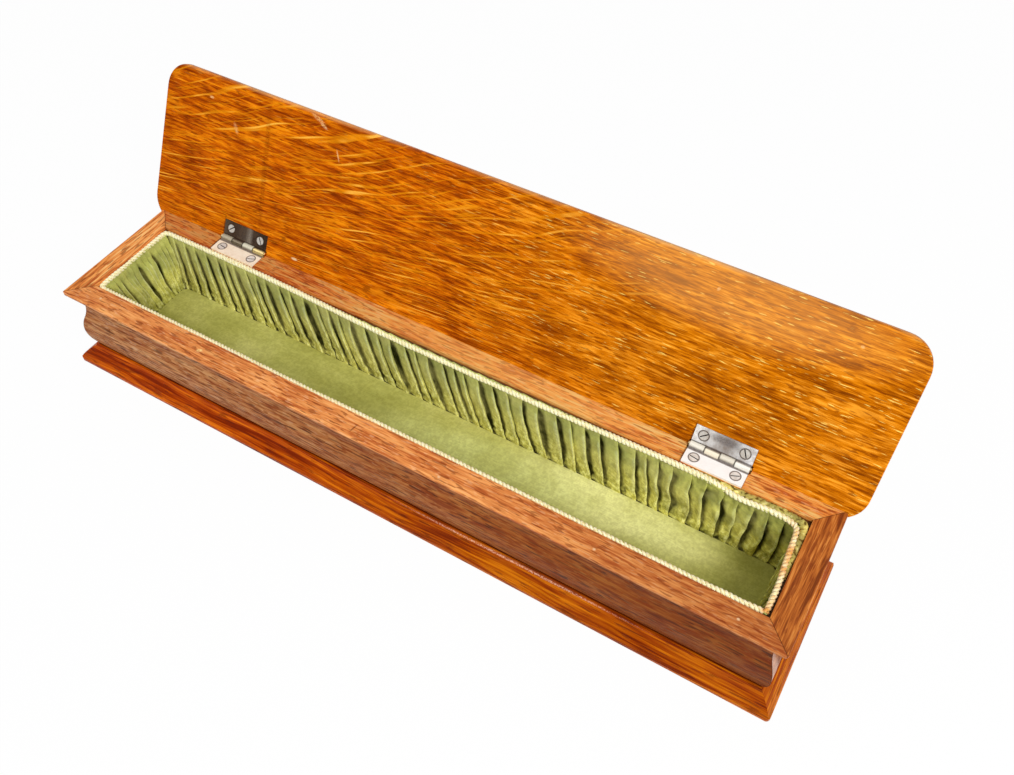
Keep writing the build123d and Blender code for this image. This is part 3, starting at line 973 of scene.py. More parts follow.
@dataclass(frozen=True)
class Bay:
    """The lined space of the box, read from the frame, in millimetres."""

    half_length: float
    half_depth: float
    foot: float
    top: float
    rim: float
    floor: float

    @classmethod
    def from_frame(cls) -> "Bay":
        """Reads the faces that the lining is fixed to."""
        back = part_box("back_lining")
        return cls(
            half_length=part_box("right_card")[0].x / MM,
            half_depth=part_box("back_card")[0].y / MM,
            foot=back[0].z / MM,
            top=back[1].z / MM,
            rim=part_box("front_wall")[1].z / MM,
            floor=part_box("floor_card")[1].z / MM,
        )


@dataclass
class PleatedWall:
    """A silk wall: one sheet in knife pleats, pressed flat at the top and full at the foot.

    The wall is laid along the back of the box and turned into place. The stops of the skew and
    the crumple run from -1 to 1 along the wall, those of the base and the fold from 0 at the top
    to 1 at the foot, and the profile is one pleat's section, by share of its width and depth.
    The roll is how far the top leans out, and between which two places it starts to.
    """

    name: str
    node: str
    card: str
    turn: float
    stand: float
    half_top: float
    half_foot: float
    top: float
    foot: float
    pleats: int
    seed: int
    skew: Stops = ((-1.0, 8.0), (0.0, 9.0))
    rows: int = 34
    roll: Triple = (0.0, 0.0, 1.0)
    crumple: Stops = ((-1.0, 0.25), (1.0, 0.25))
    profile: Stops = (
        (-0.18, 0.00), (0.04, 0.22), (0.34, 0.54), (0.70, 0.82),
        (0.94, 1.00), (1.00, 0.93), (0.95, 0.45), (0.80, 0.04),
    )
    base: Stops = (
        (0.0, 0.3), (0.15, 0.5), (0.55, 0.7), (0.85, 1.9), (1.0, 2.7),
    )
    fold: Stops = (
        (0.0, 0.4), (0.12, 1.1), (0.3, 2.1), (0.55, 2.7), (0.8, 1.8), (1.0, 0.9),
    )
    samples: int = 2
    width_spread: tuple[float, float] = (0.72, 1.28)
    depth_spread: tuple[float, float] = (0.8, 1.12)
    lean: float = 1.3
    wobble: float = 1.4
    wobble_size: float = 11.0
    crease: float = 0.9
    crease_size: tuple[float, float] = (2.6, 6.0)
    tuck_size: tuple[float, float] = (1.7, 2.6)
    thickness: float = 0.12
    widths: list[float] = field(default_factory=list)

    def _knot(self, index: int) -> tuple[float, float]:
        """A knot of the endless run of pleats."""
        pleat, knot = divmod(index, len(self.profile))
        along, depth = self.profile[knot]
        return along + pleat, depth

    def _profile(self, place: float) -> tuple[float, float]:
        """A point of the pleats' section.

        Args:
            place: How far along, counted in knots.

        Returns:
            How far along in pleats, and how far out of 1 it stands.
        """
        index = math.floor(place)
        share = place - index
        before, start, end, after = (self._knot(index + step) for step in (-1, 0, 1, 2))

        def curve(a: float, b: float, c: float, d: float) -> float:
            """A smooth curve from b to c."""
            return b + 0.5 * share * (
                c - a + share * (2 * a - 5 * b + 4 * c - d + share * (3 * (b - c) + d - a))
            )

        along, out = (curve(*values) for values in zip(before, start, end, after))
        return along, out

    def _place(self, pleat_along: float) -> float:
        """Where a place counted in pleats lies, from -1 to 1 along the wall."""
        pleat_along = min(max(pleat_along, 0.0), float(self.pleats))
        index = min(int(pleat_along), self.pleats - 1)
        return blend(self.widths[index], self.widths[index + 1], pleat_along - index)

    def _noise(self, place: Vector, size: tuple[float, float], layer: float) -> float:
        """Creases of one size across and down."""
        return noise.noise(Vector((place.x / size[0], place.y / size[1], layer)))

    def build(self) -> Piece:
        """Lays the sheet in pleats.

        Returns:
            The sheet, in place.
        """
        random = Random(self.seed)
        widths = [random.uniform(*self.width_spread) for _ in range(self.pleats)]
        total = sum(widths)
        self.widths = [2 * sum(widths[:index]) / total - 1 for index in range(self.pleats + 1)]
        strength = [random.uniform(*self.depth_spread) for _ in range(self.pleats + 1)]
        lean = [random.uniform(-self.lean, self.lean) for _ in range(self.pleats + 1)]
        columns = self.pleats * len(self.profile) * self.samples
        sheet = grid(self.name, columns, self.rows)
        shade = sheet.data.attributes.new("fold", "FLOAT", "POINT")
        turn = Matrix.Rotation(math.radians(self.turn), 3, "Z")
        height = self.top - self.foot
        fullest = max(value for _, value in self.fold)
        drift = Vector((self.seed * 17.0, self.seed * 5.0, 0.0))
        for vertex, tone in zip(sheet.data.vertices, shade.data):
            column = (vertex.co.x + 0.5) * columns / self.samples
            down = 0.5 - vertex.co.y
            along, out = self._profile(column)
            even = column / len(self.profile)
            firm = through(self.fold, down) / fullest
            pleat = min(int(even), self.pleats - 1)
            share = self._place(blend(even, along, firm ** 0.5))
            half = blend(self.half_top, self.half_foot, down)
            skew = through(self.skew, share)
            x = half * share + (skew * down ** 1.8) * (1 - share ** 4)
            x += lean[pleat] * math.sin(math.pi * down) * (1 - share ** 8)
            messy = through(self.crumple, share)
            place = Vector((x, down * height, 0.0)) + drift
            wobble = noise.noise(place / self.wobble_size) * self.wobble * messy * (1 - share ** 8)
            crease = self._noise(place, self.crease_size, 3.0) * messy
            tuck = self._noise(place, self.tuck_size, 9.0) * smooth_step(down, 0.6, 1.0)
            pressed = smooth_step(down, 0.0, 0.12) * (1 - smooth_step(down, 0.93, 1.0))
            depth = through(self.base, down) + out * strength[pleat] * through(self.fold, down)
            depth += (crease + tuck) * self.crease * pressed
            depth += self.roll[0] * smooth_step(x, self.roll[1], self.roll[2]) * (1 - down) ** 2
            x = min(max(x + wobble * pressed, -half), half)
            z = blend(self.top, self.foot, down)
            vertex.co = turn @ Vector((x, self.stand - max(depth, self.thickness), z)) * MM
            # The fold value sets the painted shade in the folds and the painted highlight on the
            # ridges.
            tone.value = blend(0.62, out, smooth_step(down, 0.0, 0.22) * min(1.0, firm * 1.5))
            tone.value += crease * 0.12 + tuck * 0.35
        sheet.data.update()
        bpy.ops.object.shade_smooth()
        thickness = sheet.modifiers.new("cloth thickness", "SOLIDIFY")
        thickness.thickness = self.thickness * MM
        thickness.offset = -1.0
        self._declare(sheet)
        bpy.ops.object.modifier_apply(modifier=thickness.name)
        return sheet

    def _declare(self, sheet: Piece) -> None:
        """Hangs the sheet on the box and hides the model's piece that it stands in for."""
        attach(sheet, "box")
        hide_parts(self.node)


@dataclass
class FloorPad:
    """The silk floor: a thin crowned pad with the cloth's own slack in it."""

    name: str
    half_length: float
    half_depth: float
    floor: float
    edge: float = 1.1
    crown: float = 0.6
    corner: float = 2.0
    cells: tuple[int, int] = (170, 20)
    lift: float = 0.35
    shade_angle: float = 50.0

    def build(self) -> Piece:
        """Makes the pad and puffs its top.

        Returns:
            The pad, in place.
        """
        pad = grid(self.name, *self.cells)
        for vertex in pad.data.vertices:
            x, y = 2 * vertex.co.x, 2 * vertex.co.y
            past = max(0.0, abs(y) * self.half_depth - self.half_depth + self.corner)
            bend = math.sqrt(max(0.0, 1 - past ** 2 / self.corner ** 2))
            far = self.half_length - self.corner * (1 - bend)
            rise = self.crown * (1 - y * y) * (1 - x ** 8)
            vertex.co = Vector((x * far, y * self.half_depth, self.floor + self.edge + rise)) * MM
        bpy.ops.object.mode_set(mode="EDIT")
        bpy.ops.mesh.select_all(action="SELECT")
        bpy.ops.mesh.extrude_region_move(TRANSFORM_OT_translate={"value": (0.0, 0.0, -self.edge * MM)})
        bpy.ops.object.mode_set(mode="OBJECT")
        seat = self.floor * MM
        for vertex in pad.data.vertices:
            if vertex.select:
                vertex.co.z = seat
        turn_outwards()
        self._slack(pad)
        bpy.ops.object.shade_smooth_by_angle(angle=math.radians(self.shade_angle))
        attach(pad, "box")
        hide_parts("floor_pad")
        return pad

    def _slack(self, pad: Piece) -> None:
        """Moves the top up and down as loose silk lies, never past the lift."""
        seat = self.floor * MM
        for vertex in pad.data.vertices:
            if vertex.co.z < seat + 0.5 * self.edge * MM:
                continue
            x, y = vertex.co.x / MM, vertex.co.y / MM
            inside = (1 - (y / self.half_depth) ** 6) * (1 - (x / self.half_length) ** 20)
            ripple = noise.noise(Vector((x / 16.0 + y / 30.0, y / 9.0, 4.0)))
            ripple += 0.45 * noise.noise(Vector((x / 5.0, y / 7.0, 8.0)))
            vertex.co.z += self.lift * max(-1.0, min(1.0, ripple)) * inside * MM


@dataclass(frozen=True)
class Route:
    """A line that a cord or a roll follows, its points listed, in millimetres."""

    name: str
    points: tuple[Triple, ...]
    resolution: int = 12

    def line(self) -> list[Vector]:
        """Reads the smooth line from a curve with no bevel.

        Returns:
            Points along the line, in millimetres.
        """
        curve = bpy.data.curves.new(self.name, "CURVE")
        curve.dimensions = "3D"
        curve.resolution_u = self.resolution
        spline = curve.splines.new("NURBS")
        spline.points.add(len(self.points) - 1)
        for point, place in zip(spline.points, self.points):
            point.co = (*place, 1.0)
        spline.order_u = 3
        spline.use_endpoint_u = True
        holder = bpy.data.objects.new(self.name, curve)
        bpy.context.scene.collection.objects.link(holder)
        bpy.context.view_layer.update()
        mesh = bpy.data.meshes.new_from_object(holder)
        line = [vertex.co.copy() for vertex in mesh.vertices]
        bpy.data.objects.remove(holder)
        bpy.data.curves.remove(curve)
        bpy.data.meshes.remove(mesh)
        return line


def even_steps(line: Sequence[Vector], step: float) -> list[Vector]:
    """Walks a line in even steps.

    Args:
        line: The line's points.
        step: About how long a step is.

    Returns:
        Points the same distance apart, with both ends kept.
    """
    lengths = [0.0]
    for start, end in zip(line, line[1:]):
        lengths.append(lengths[-1] + (end - start).length)
    count = max(2, round(lengths[-1] / step))
    points = []
    index = 0
    for number in range(count + 1):
        reach = lengths[-1] * number / count
        while index < len(line) - 2 and lengths[index + 1] < reach:
            index += 1
        span = max(lengths[index + 1] - lengths[index], 1e-9)
        points.append(line[index].lerp(line[index + 1], min(1.0, (reach - lengths[index]) / span)))
    return points


def frames(line: Sequence[Vector]) -> list[tuple[Vector, Vector]]:
    """Two sideways directions at each point of a line, carried along with no twist."""
    sides = []
    side = None
    for index, _ in enumerate(line):
        ahead = (line[min(index + 1, len(line) - 1)] - line[max(index - 1, 0)]).normalized()
        side = ahead.cross(UP) if side is None else side - ahead * side.dot(ahead)
        side.normalize()
        sides.append((side.copy(), side.cross(ahead)))
    return sides


class Tubes:
    """Gathers tubes into one mesh."""

    def __init__(self, name: str, sides: int, ring_step: float = 0.25) -> None:
        """Starts with no tube.

        Args:
            name: The name of the piece.
            sides: How many sides each tube has.
            ring_step: How far a ring moves up the UV map.
        """
        self.name = name
        self.sides = sides
        self.ring_step = ring_step
        self.vertices: list[Vector] = []
        self.faces: list[tuple[int, ...]] = []

    def add(self, line: Sequence[Vector], radius: Callable[[int, float], tuple[float, float]]) -> None:
        """Adds a closed tube.

        Args:
            line: Its centre line, in millimetres.
            radius: Gives the radius sideways and upwards at a point's index and an angle.
        """
        start = len(self.vertices)
        for index, (point, (side, up)) in enumerate(zip(line, frames(line))):
            for corner in range(self.sides):
                angle = math.tau * corner / self.sides
                wide, tall = radius(index, angle)
                place = point + side * math.cos(angle) * wide + up * math.sin(angle) * tall
                self.vertices.append(place * MM)
        for index in range(len(line) - 1):
            for corner in range(self.sides):
                near = start + index * self.sides
                far = near + self.sides
                after = (corner + 1) % self.sides
                self.faces.append((near + corner, near + after, far + after, far + corner))
        last = start + (len(line) - 1) * self.sides
        self.faces.append(tuple(start + corner for corner in reversed(range(self.sides))))
        self.faces.append(tuple(last + corner for corner in range(self.sides)))

    def finish(self) -> Piece:
        """Makes the mesh, with a UV map that runs round and along each tube.

        Returns:
            The object, in place.
        """
        mesh = bpy.data.meshes.new(self.name)
        mesh.from_pydata(self.vertices, [], self.faces)
        layer = mesh.uv_layers.new(name="cloth")
        step = self.ring_step
        for polygon in mesh.polygons:
            vertices = [mesh.loops[loop].vertex_index for loop in polygon.loop_indices]
            closing = max(vertex % self.sides for vertex in vertices) == self.sides - 1
            for loop, vertex in zip(polygon.loop_indices, vertices):
                ring, corner = divmod(vertex, self.sides)
                if closing and corner == 0:
                    corner = self.sides
                layer.data[loop].uv = (corner / self.sides, ring * step)
        piece = bpy.data.objects.new(self.name, mesh)
        bpy.context.scene.collection.objects.link(piece)
        deselect()
        piece.select_set(True)
        bpy.context.view_layer.objects.active = piece
        turn_outwards()
        bpy.ops.object.shade_smooth()
        return piece


@dataclass(frozen=True)
class TrimCord:
    """The twisted cord round the opening: two strands, laid to the left."""

    route: Route
    name: str = "trim_cord_strands"
    strands: int = 2
    strand_radius: float = 0.76
    strand_offset: float = 0.54
    lay: float = 3.6
    swell: float = 0.16
    swell_length: float = 7.0
    step: float = 0.26
    sides: int = 7

    def build(self) -> Piece:
        """Twists the strands along the route.

        Returns:
            The cord, in place.
        """
        line = even_steps(self.route.line(), self.step)
        sides = frames(line)
        tubes = Tubes(self.name, self.sides)
        swell = [
            1 + self.swell * noise.noise(Vector((index * self.step / self.swell_length, 0.5, 0.5)))
            for index in range(len(line))
        ]
        for strand in range(self.strands):
            start = math.tau * strand / self.strands
            centre = []
            for index, (point, (side, up)) in enumerate(zip(line, sides)):
                angle = start - math.tau * index * self.step / self.lay
                away = self.strand_offset * swell[index]
                centre.append(point + (side * math.cos(angle) + up * math.sin(angle)) * away)
            tubes.add(centre, lambda index, _: (self.strand_radius * swell[index],) * 2)
        cord = tubes.finish()
        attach(cord, "box")
        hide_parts("trim_cord")
        length = len(line) * self.step
        LOG.info("%s: %.0f mm round the opening", self.name, length)
        return cord


@dataclass(frozen=True)
class SilkRoll:
    """The silk that rolls out between the cord and the rail at the back right corner."""

    route: Route
    sizes: Stops
    flatness: float = 0.85
    crease: float = 0.3
    crease_length: float = 1.3
    fine: float = 0.16
    fine_length: float = 0.7
    name: str = "silk_roll"
    step: float = 0.3
    sides: int = 24

    def build(self) -> Piece:
        """Makes the roll, gathered into small creases.

        Returns:
            The roll, in place.
        """
        line = even_steps(self.route.line(), self.step)
        tubes = Tubes(self.name, self.sides)

        def radius(index: int, angle: float) -> tuple[float, float]:
            """The roll's radius, with its creases."""
            size = through(self.sizes, index / (len(line) - 1))
            along = index * self.step
            x, y = math.cos(angle), math.sin(angle)
            crease = noise.noise(Vector((along / self.crease_length, x, y)))
            fine = noise.noise(Vector((along / self.fine_length, x * 1.5, y * 1.5 + 7.0)))
            size *= 1 + self.crease * crease + self.fine * fine
            return size, size * self.flatness

        tubes.add(line, radius)
        roll = tubes.finish()
        shade = roll.data.attributes.new("fold", "FLOAT", "POINT")
        for vertex, tone in zip(roll.data.vertices, shade.data):
            tone.value = 0.6 + 0.9 * noise.noise(vertex.co / MM / 1.2)
        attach(roll, "box")
        return roll


@dataclass
class Lining:
    """The silk and the cord inside the box.

    The roll is how far the back wall's top leans out, from its start to its end. The clearance
    is what the pleats take at the foot, and the gaps keep a wall off the card or the rail by it.
    """

    bay: Bay
    effects: Effects
    roll: Triple = (2.6, 104.0, 134.0)
    clearance: float = 3.2
    tucked: float = 1.5
    long_gap: float = 0.1
    top_gap: float = 0.8
    foot_gap: float = 0.7
    pad_gap: float = 0.2
    cord_below_rim: float = 1.55
    roll_below_rim: float = 1.5

    def walls(self) -> list[PleatedWall]:
        """The four pleated walls, the end ones fitted between the long ones."""
        bay = self.bay
        long_half = bay.half_length - self.long_gap
        top_half = bay.half_depth - self.top_gap
        foot_half = bay.half_depth - self.clearance - self.foot_gap
        shared = {"top": bay.top + self.tucked, "foot": bay.foot}
        long = {"half_top": long_half, "half_foot": long_half, "pleats": 48, "stand": bay.half_depth}
        end = {"half_top": top_half, "half_foot": foot_half, "stand": bay.half_length}
        return [
            PleatedWall(
                "silk_back", "back_lining", "back_card", 0.0, seed=3,
                roll=self.roll,
                skew=((-1.0, 8.0), (0.0, 9.0), (0.4, 6.5), (0.75, 3.5), (1.0, -3.0)),
                crumple=((-1.0, 0.4), (-0.8, 0.2), (0.45, 0.3), (0.72, 1.0), (1.0, 1.6)),
                **long, **shared,
            ),
            PleatedWall("silk_front", "front_lining", "front_card", 180.0, seed=5, **long, **shared),
            PleatedWall(
                "silk_left", "left_lining", "left_card", 90.0, seed=8, skew=((0.0, 4.0),),
                crumple=((-1.0, 0.7), (1.0, 0.7)), pleats=14, **end, **shared,
            ),
            PleatedWall(
                "silk_right", "right_lining", "right_card", -90.0, seed=11, skew=((0.0, 1.5),),
                crumple=((-1.0, 0.8), (1.0, 0.8)), pleats=8, **end, **shared,
            ),
        ]

    def cord_route(self) -> Route:
        """The cord's line: pulled off the back rail in the middle, pulled in at the right."""
        level = self.bay.rim - self.cord_below_rim
        front = level - 0.45
        low = level - 1.1
        return Route(
            "trim_line",
            (
                (159.2, -20.7, level - 0.2), (152.0, -21.1, front), (85.0, -21.4, front),
                (30.0, -21.2, front), (-35.0, -21.5, front), (-90.0, -21.3, front),
                (-135.0, -21.4, front), (-158.6, -21.5, front), (-161.1, -21.4, level - 0.1),
                (-161.5, -18.0, level), (-161.3, -8.0, level), (-161.5, 6.0, level),
                (-161.4, 18.0, level), (-161.2, 21.4, level), (-157.5, 21.6, level),
                (-135.0, 21.8, level), (-95.0, 21.8, level), (-62.0, 21.0, level - 0.5),
                (-35.0, 20.6, low), (-5.0, 20.7, low), (30.0, 20.6, low), (60.0, 20.8, low + 0.2),
                (88.0, 21.1, level - 0.2), (112.0, 21.4, level), (126.0, 20.6, level),
                (134.0, 18.5, level), (147.0, 19.7, level), (155.0, 19.2, level),
                (158.2, 17.6, level), (159.0, 14.0, level), (159.4, 4.0, level - 0.1),
                (160.6, -9.0, level - 0.2), (160.6, -16.0, level - 0.2), (160.4, -20.6, level - 0.4),
            ),
        )

    def roll_route(self) -> Route:
        """The line of the silk roll outside the cord."""
        level = self.bay.rim - self.roll_below_rim
        return Route(
            "roll_line",
            (
                (108.0, 22.3, level - 0.6), (120.0, 22.0, level - 0.2), (130.0, 21.2, level),
                (142.0, 21.3, level), (153.0, 21.4, level), (159.5, 20.9, level),
                (161.0, 18.0, level), (161.1, 10.0, level), (161.3, 2.0, level - 0.3),
                (161.6, -5.0, level - 0.8),
            ),
        )

    def build(self) -> None:
        """Makes the soft pieces and gives them their finishes."""
        self._dress_walls()
        self._dress_floor()
        self._dress_edge()
        LOG.info("lining: 4 silk walls, floor, cord and roll")

    def _dress_walls(self) -> None:
        """Makes the pleated walls, the left one of a darker, yellower copy of the silk as painted
        shade.
        """
        silk = SilkFinish(
            "old silk, pleated",
            dark_tint_and_fold_shade=colour(42, 42, 4),
            face_tint=colour(240, 236, 154),
            pale_tint_and_ridge_highlight=colour(255, 254, 196),
            aged_tint=colour(236, 228, 154),
            cloth=(600.0, 34.0),
        )
        # The left wall gets a darker copy of the silk: painted shade, as the lamp lights that wall
        # more.
        shaded_left_silk = replace(
            silk,
            name="old silk, left end",
            face_tint=colour(236, 234, 146),
            aged_tint=colour(222, 214, 128),
            rumple_shading=(0.4, 0.2),
        ).build(self.effects)
        other_silk = silk.build(self.effects)
        for wall in self.walls():
            dress(wall.build(), shaded_left_silk if wall.name == "silk_left" else other_silk)

    def _dress_floor(self) -> None:
        """Makes the floor pad, palest where the light has reached it."""
        inset = self.clearance + self.pad_gap
        pad = FloorPad(
            "silk_floor", self.bay.half_length - inset, self.bay.half_depth - inset, self.bay.floor
        ).build()
        silk = SilkFinish(
            "old silk, flat",
            dark_tint_and_fold_shade=colour(172, 170, 90),
            face_tint=colour(195, 193, 110),
            pale_tint_and_ridge_highlight=colour(217, 213, 134),
            aged_tint=colour(180, 176, 88),
            cloth=(314.0, 35.0),
            pleated=False,
            crushed=1.2,
            # Painted pools of light on the floor pad.
            marks=(
                Mark((84.0, 10.0), (64.0, 17.0), 0.0, colour(250, 248, 178), 0.95, 0.1),
                Mark((30.0, 2.0), (70.0, 15.0), 3.0, colour(226, 230, 154), 0.7, 0.2),
            ),
        )
        dress(pad, silk.build(self.effects))

    def _dress_edge(self) -> None:
        """Makes the cord with its rust stains, and the roll of silk outside it."""
        cord = TrimCord(self.cord_route()).build()
        rust = colour(224, 146, 34)
        stains = (
            Mark((159.4, 6.0), (3.0, 3.4), 0.0, rust, 0.85, 0.3),
            Mark((159.6, -2.0), (3.0, 2.2), 0.0, rust, 0.7, 0.3),
            Mark((160.2, -20.6), (2.6, 2.4), 0.0, rust, 0.85, 0.2),
        )
        dress(cord, CordFinish("cream cord", marks=stains).build(self.effects))
        sizes = ((0.0, 0.3), (0.2, 1.1), (0.45, 1.4), (0.7, 1.5), (0.9, 1.0), (1.0, 0.3))
        roll = SilkRoll(self.roll_route(), sizes).build()
        silk = SilkFinish(
            "old silk, rolled",
            dark_tint_and_fold_shade=colour(112, 92, 38),
            face_tint=colour(220, 206, 132),
            pale_tint_and_ridge_highlight=colour(250, 238, 180),
            aged_tint=colour(168, 128, 66),
            top_shade=WHITE,
            cloth=(9.0, 9.0),
        )
        dress(roll, silk.build(self.effects))


@dataclass(frozen=True)
class WallLook:
    """How the oak of one wall differs from the others, and the marks on it."""

    tones: tuple[Colour, ...]
    grain: Grain = Grain.ALONG
    ends: tuple[Colour, ...] = (WHITE, WHITE)
    end_places: tuple[float, float] = (-150.0, 150.0)
    # Painted shade below the rail, lighter at the left for a painted reflection.
    moulded_shade_and_sheen: tuple[Colour, ...] = colours((206, 218, 240), (172, 152, 116))
    marks: tuple[Mark, ...] = ()


def on_rim(*given: object, rim: float = 45.5, skin: float = 3.0) -> Mark:
    """A mark that shows on the top of a wall alone."""
    return Mark(*given, level=rim, deep=skin)


@dataclass
class Carcass:
    """The body, the base plate and the lid."""

    nodes: dict[str, Piece]
    effects: Effects
    hinge: Triple
    wall_foot: tuple[float, float] = (169.4, 29.9)
    filler: Colour = colour(240, 205, 160)
    scuff: Colour = colour(255, 214, 150)
    leaf_shadow: Colour = colour(78, 34, 12)
    lid_skin: float = 3.0

    def build(self) -> None:
        """Gives every board its finish."""
        leaf_starts = [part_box(f"{side}_hinge_box_leaf")[0].x / MM for side in ("left", "right")]
        self._walls(leaf_starts)
        self._base()
        self._lid(leaf_starts)
        LOG.info("carcass: four walls, base plate and lid")

    def _looks(self, leaf_starts: Iterable[float]) -> dict[str, WallLook]:
        """The look of each wall.

        Args:
            leaf_starts: Where the left end of each hinge leaf is, in millimetres.

        Returns:
            The looks, by the wall's name.
        """
        holes = tuple(
            on_rim(place, (0.9, 0.7), 0.0, self.filler, 0.75, 0.2)
            for place in ((30.6, -31.7), (97.1, -29.6), (153.0, -28.8), (-154.3, -27.7))
        )
        dents = (
            on_rim((-94.3, -28.9), (1.8, 1.1), 30.0, colour(255, 226, 150), 0.85, 0.7),
            on_rim((-97.4, -28.6), (1.4, 0.9), 0.0, colour(120, 48, 14), 0.7, 0.5),
            on_rim((-12.0, -29.2), (3.2, 0.5), 80.0, colour(84, 30, 6), 0.8, 0.4),
        )
        # Painted shadows along the left edge of each hinge's box leaf.
        leaf_shadows = tuple(
            on_rim((start - 0.2, 27.2), (0.8, 8.0), 0.0, self.leaf_shadow, 0.85, 0.2)
            for start in leaf_starts
        )
        # A painted pool of light on the middle of the back rim.
        glow = on_rim((25.0, 27.5), (95.0, 16.0), 0.0, colour(255, 190, 104), 0.24, 0.0)
        # A painted reflection on the right wall's end face, by the front corner.
        gleam = Mark(
            (-30.0, -173.0), (5.5, 12.0), 0.0, colour(236, 196, 176), 0.5, 0.2, level=25.0, deep=20.0
        )
        return {
            "front_wall": WallLook(
                colours((184, 94, 42), (216, 130, 66), (230, 146, 78), (248, 172, 100)),
                ends=colours((255, 255, 255), (208, 196, 186)),
                end_places=(20.0, 168.0),
                marks=holes + dents,
            ),
            "back_wall": WallLook(
                colours((200, 100, 38), (250, 158, 72), (255, 184, 94), (255, 212, 132)),
                ends=colours((208, 180, 162), (232, 226, 220)),
                end_places=(-130.0, 20.0),
                moulded_shade_and_sheen=colours((196, 176, 160), (160, 136, 110)),
                marks=(*leaf_shadows, glow),
            ),
            "left_wall": WallLook(
                colours((190, 96, 36), (230, 140, 66), (248, 166, 86), (255, 198, 124)),
                Grain.ACROSS,
            ),
            "right_wall": WallLook(
                colours((116, 54, 15), (160, 84, 30), (184, 104, 40), (212, 134, 62)),
                Grain.ACROSS,
                marks=(gleam,),
            ),
        }

    def _walls(self, leaf_starts: Iterable[float]) -> None:
        """Finishes the four walls, each cut from another part of the board."""
        joint = (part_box("front_wall")[0].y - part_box("left_wall")[0].x) / MM
        for number, (name, look) in enumerate(self._looks(leaf_starts).items(), start=1):
            along = look.grain is Grain.ALONG
            finish = OakFinish(
                f"polished oak, {name.replace('_', ' ')}",
                look.grain,
                look.tones,
                colour(124, 54, 18),
                offset=53.0 * number,
                ends=look.ends,
                end_places=look.end_places,
                moulded_shade_and_sheen=look.moulded_shade_and_sheen,
                glinting=along,
                streak=(7.0, 0.7) if along else (11.0, 0.8),
                joint=joint,
                marks=look.marks,
            )
            dress(self.nodes[name], finish.build(self.effects))

    def _base(self) -> None:
        """Finishes the base plate, mitred to look at, with a painted highlight on its front ledge."""
        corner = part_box("base_plate")[1]
        ledge = (64.0, -self.wall_foot[1] - 1.6)
        finish = OakFinish(
            "varnished oak, base plate",
            Grain.ALONG,
            colours((124, 40, 0), (166, 68, 0), (190, 92, 0), (222, 124, 8)),
            colour(78, 20, 0),
            streak=(20.0, 0.8),
            band=3.4,
            pores=Dashes((9.0, 0.95), 0.6, 0.5),
            roughness=0.3,
            specular=0.08,
            offset=311.0,
            ends=colours((255, 230, 224), (232, 232, 226)),
            end_places=(-110.0, 80.0),
            mitred=(corner.x / MM, corner.y / MM),
            # A painted shadow round the foot of the walls.
            foot=self.wall_foot,
            # A painted highlight along the front ledge, by the foot of the front wall.
            marks=(Mark(ledge, (70.0, 0.5), 0.0, colour(230, 184, 160), 0.75, 0.95),),
        )
        dress(self.nodes["base_plate"], finish.build(self.effects))

    def _lid(self, leaf_starts: Iterable[float]) -> None:
        """Finishes the lid: scuffs, a stain, a painted glare and painted shadows by the hinge leaves.
        """
        scuff = self.scuff
        marks = (
            Mark((-91.5, 69.6), (5.0, 1.2), -20.0, scuff, 0.55, 0.9),
            Mark((-88.0, 67.4), (3.2, 0.9), -24.0, scuff, 0.6, 0.7),
            Mark((-78.2, 57.2), (3.4, 0.5), -65.0, scuff, 0.6, 0.4),
            Mark((-150.9, 61.6), (1.6, 0.7), 0.0, scuff, 0.7, 0.4),
            Mark((-135.0, 52.0), (3.4, 1.3), -60.0, scuff, 0.4, 0.8),
            Mark((-91.7, 4.0), (2.2, 0.8), 0.0, colour(255, 236, 190), 0.8, 0.3),
            Mark((97.9, 62.6), (1.2, 0.8), 60.0, scuff, 0.5, 0.3),
            Mark((153.2, 61.6), (1.0, 0.8), 0.0, scuff, 0.5, 0.3),
            Mark((-115.8, 39.0), (46.0, 2.0), 94.0, colour(120, 46, 0), 0.5, 0.7),
            # A painted glare on the inner face, towards the right.
            Mark((104.0, 64.0), (80.0, 22.0), 0.0, colour(238, 170, 96), 0.3, 0.0),
        )
        # Painted shadows along the left edge of each hinge's lid leaf.
        leaf_shadows = tuple(
            Mark((start - 0.2, 4.5), (0.8, 8.0), 0.0, self.leaf_shadow, 0.7, 0.3)
            for start in leaf_starts
        )
        inner = tuple(replace(mark, deep=self.lid_skin) for mark in marks + leaf_shadows)
        lid = LidFinish("varnished oak, lid", self.hinge, marks=inner)
        dress(self.nodes["lid"], lid.build(self.effects))


@dataclass(frozen=True)
class HingeLook:
    """A hinge's nickel, its reflections painted in; stripes and knuckles run from its left end."""

    # The lid leaf's stripes are painted reflections; the pale colour and the knuckles' tints are partly
    # painted reflections too.
    pale: Colour
    dulled: Colour
    lid_metallic: float
    lid_tarnish: float
    reflection_places: tuple[float, ...]
    reflection_tints: tuple[Colour, ...]
    knuckle_tints: tuple[Colour, ...]
    shadow: tuple[Colour, ...] = ()
    joint: Colour = colour(44, 34, 26)
    margin: float = 0.02

    def knuckles(self) -> tuple[tuple[float, Colour], ...]:
        """The knuckles' tints by share of the leaf, with a dark joint between each two."""
        width = 1 / len(self.knuckle_tints)
        stops = []
        for number, tint in enumerate(self.knuckle_tints):
            start = number * width
            stops += [(start + self.margin, tint), (start + width - self.margin, tint)]
            if number < len(self.knuckle_tints) - 1:
                stops.append((start + width, self.joint))
        return tuple(stops)


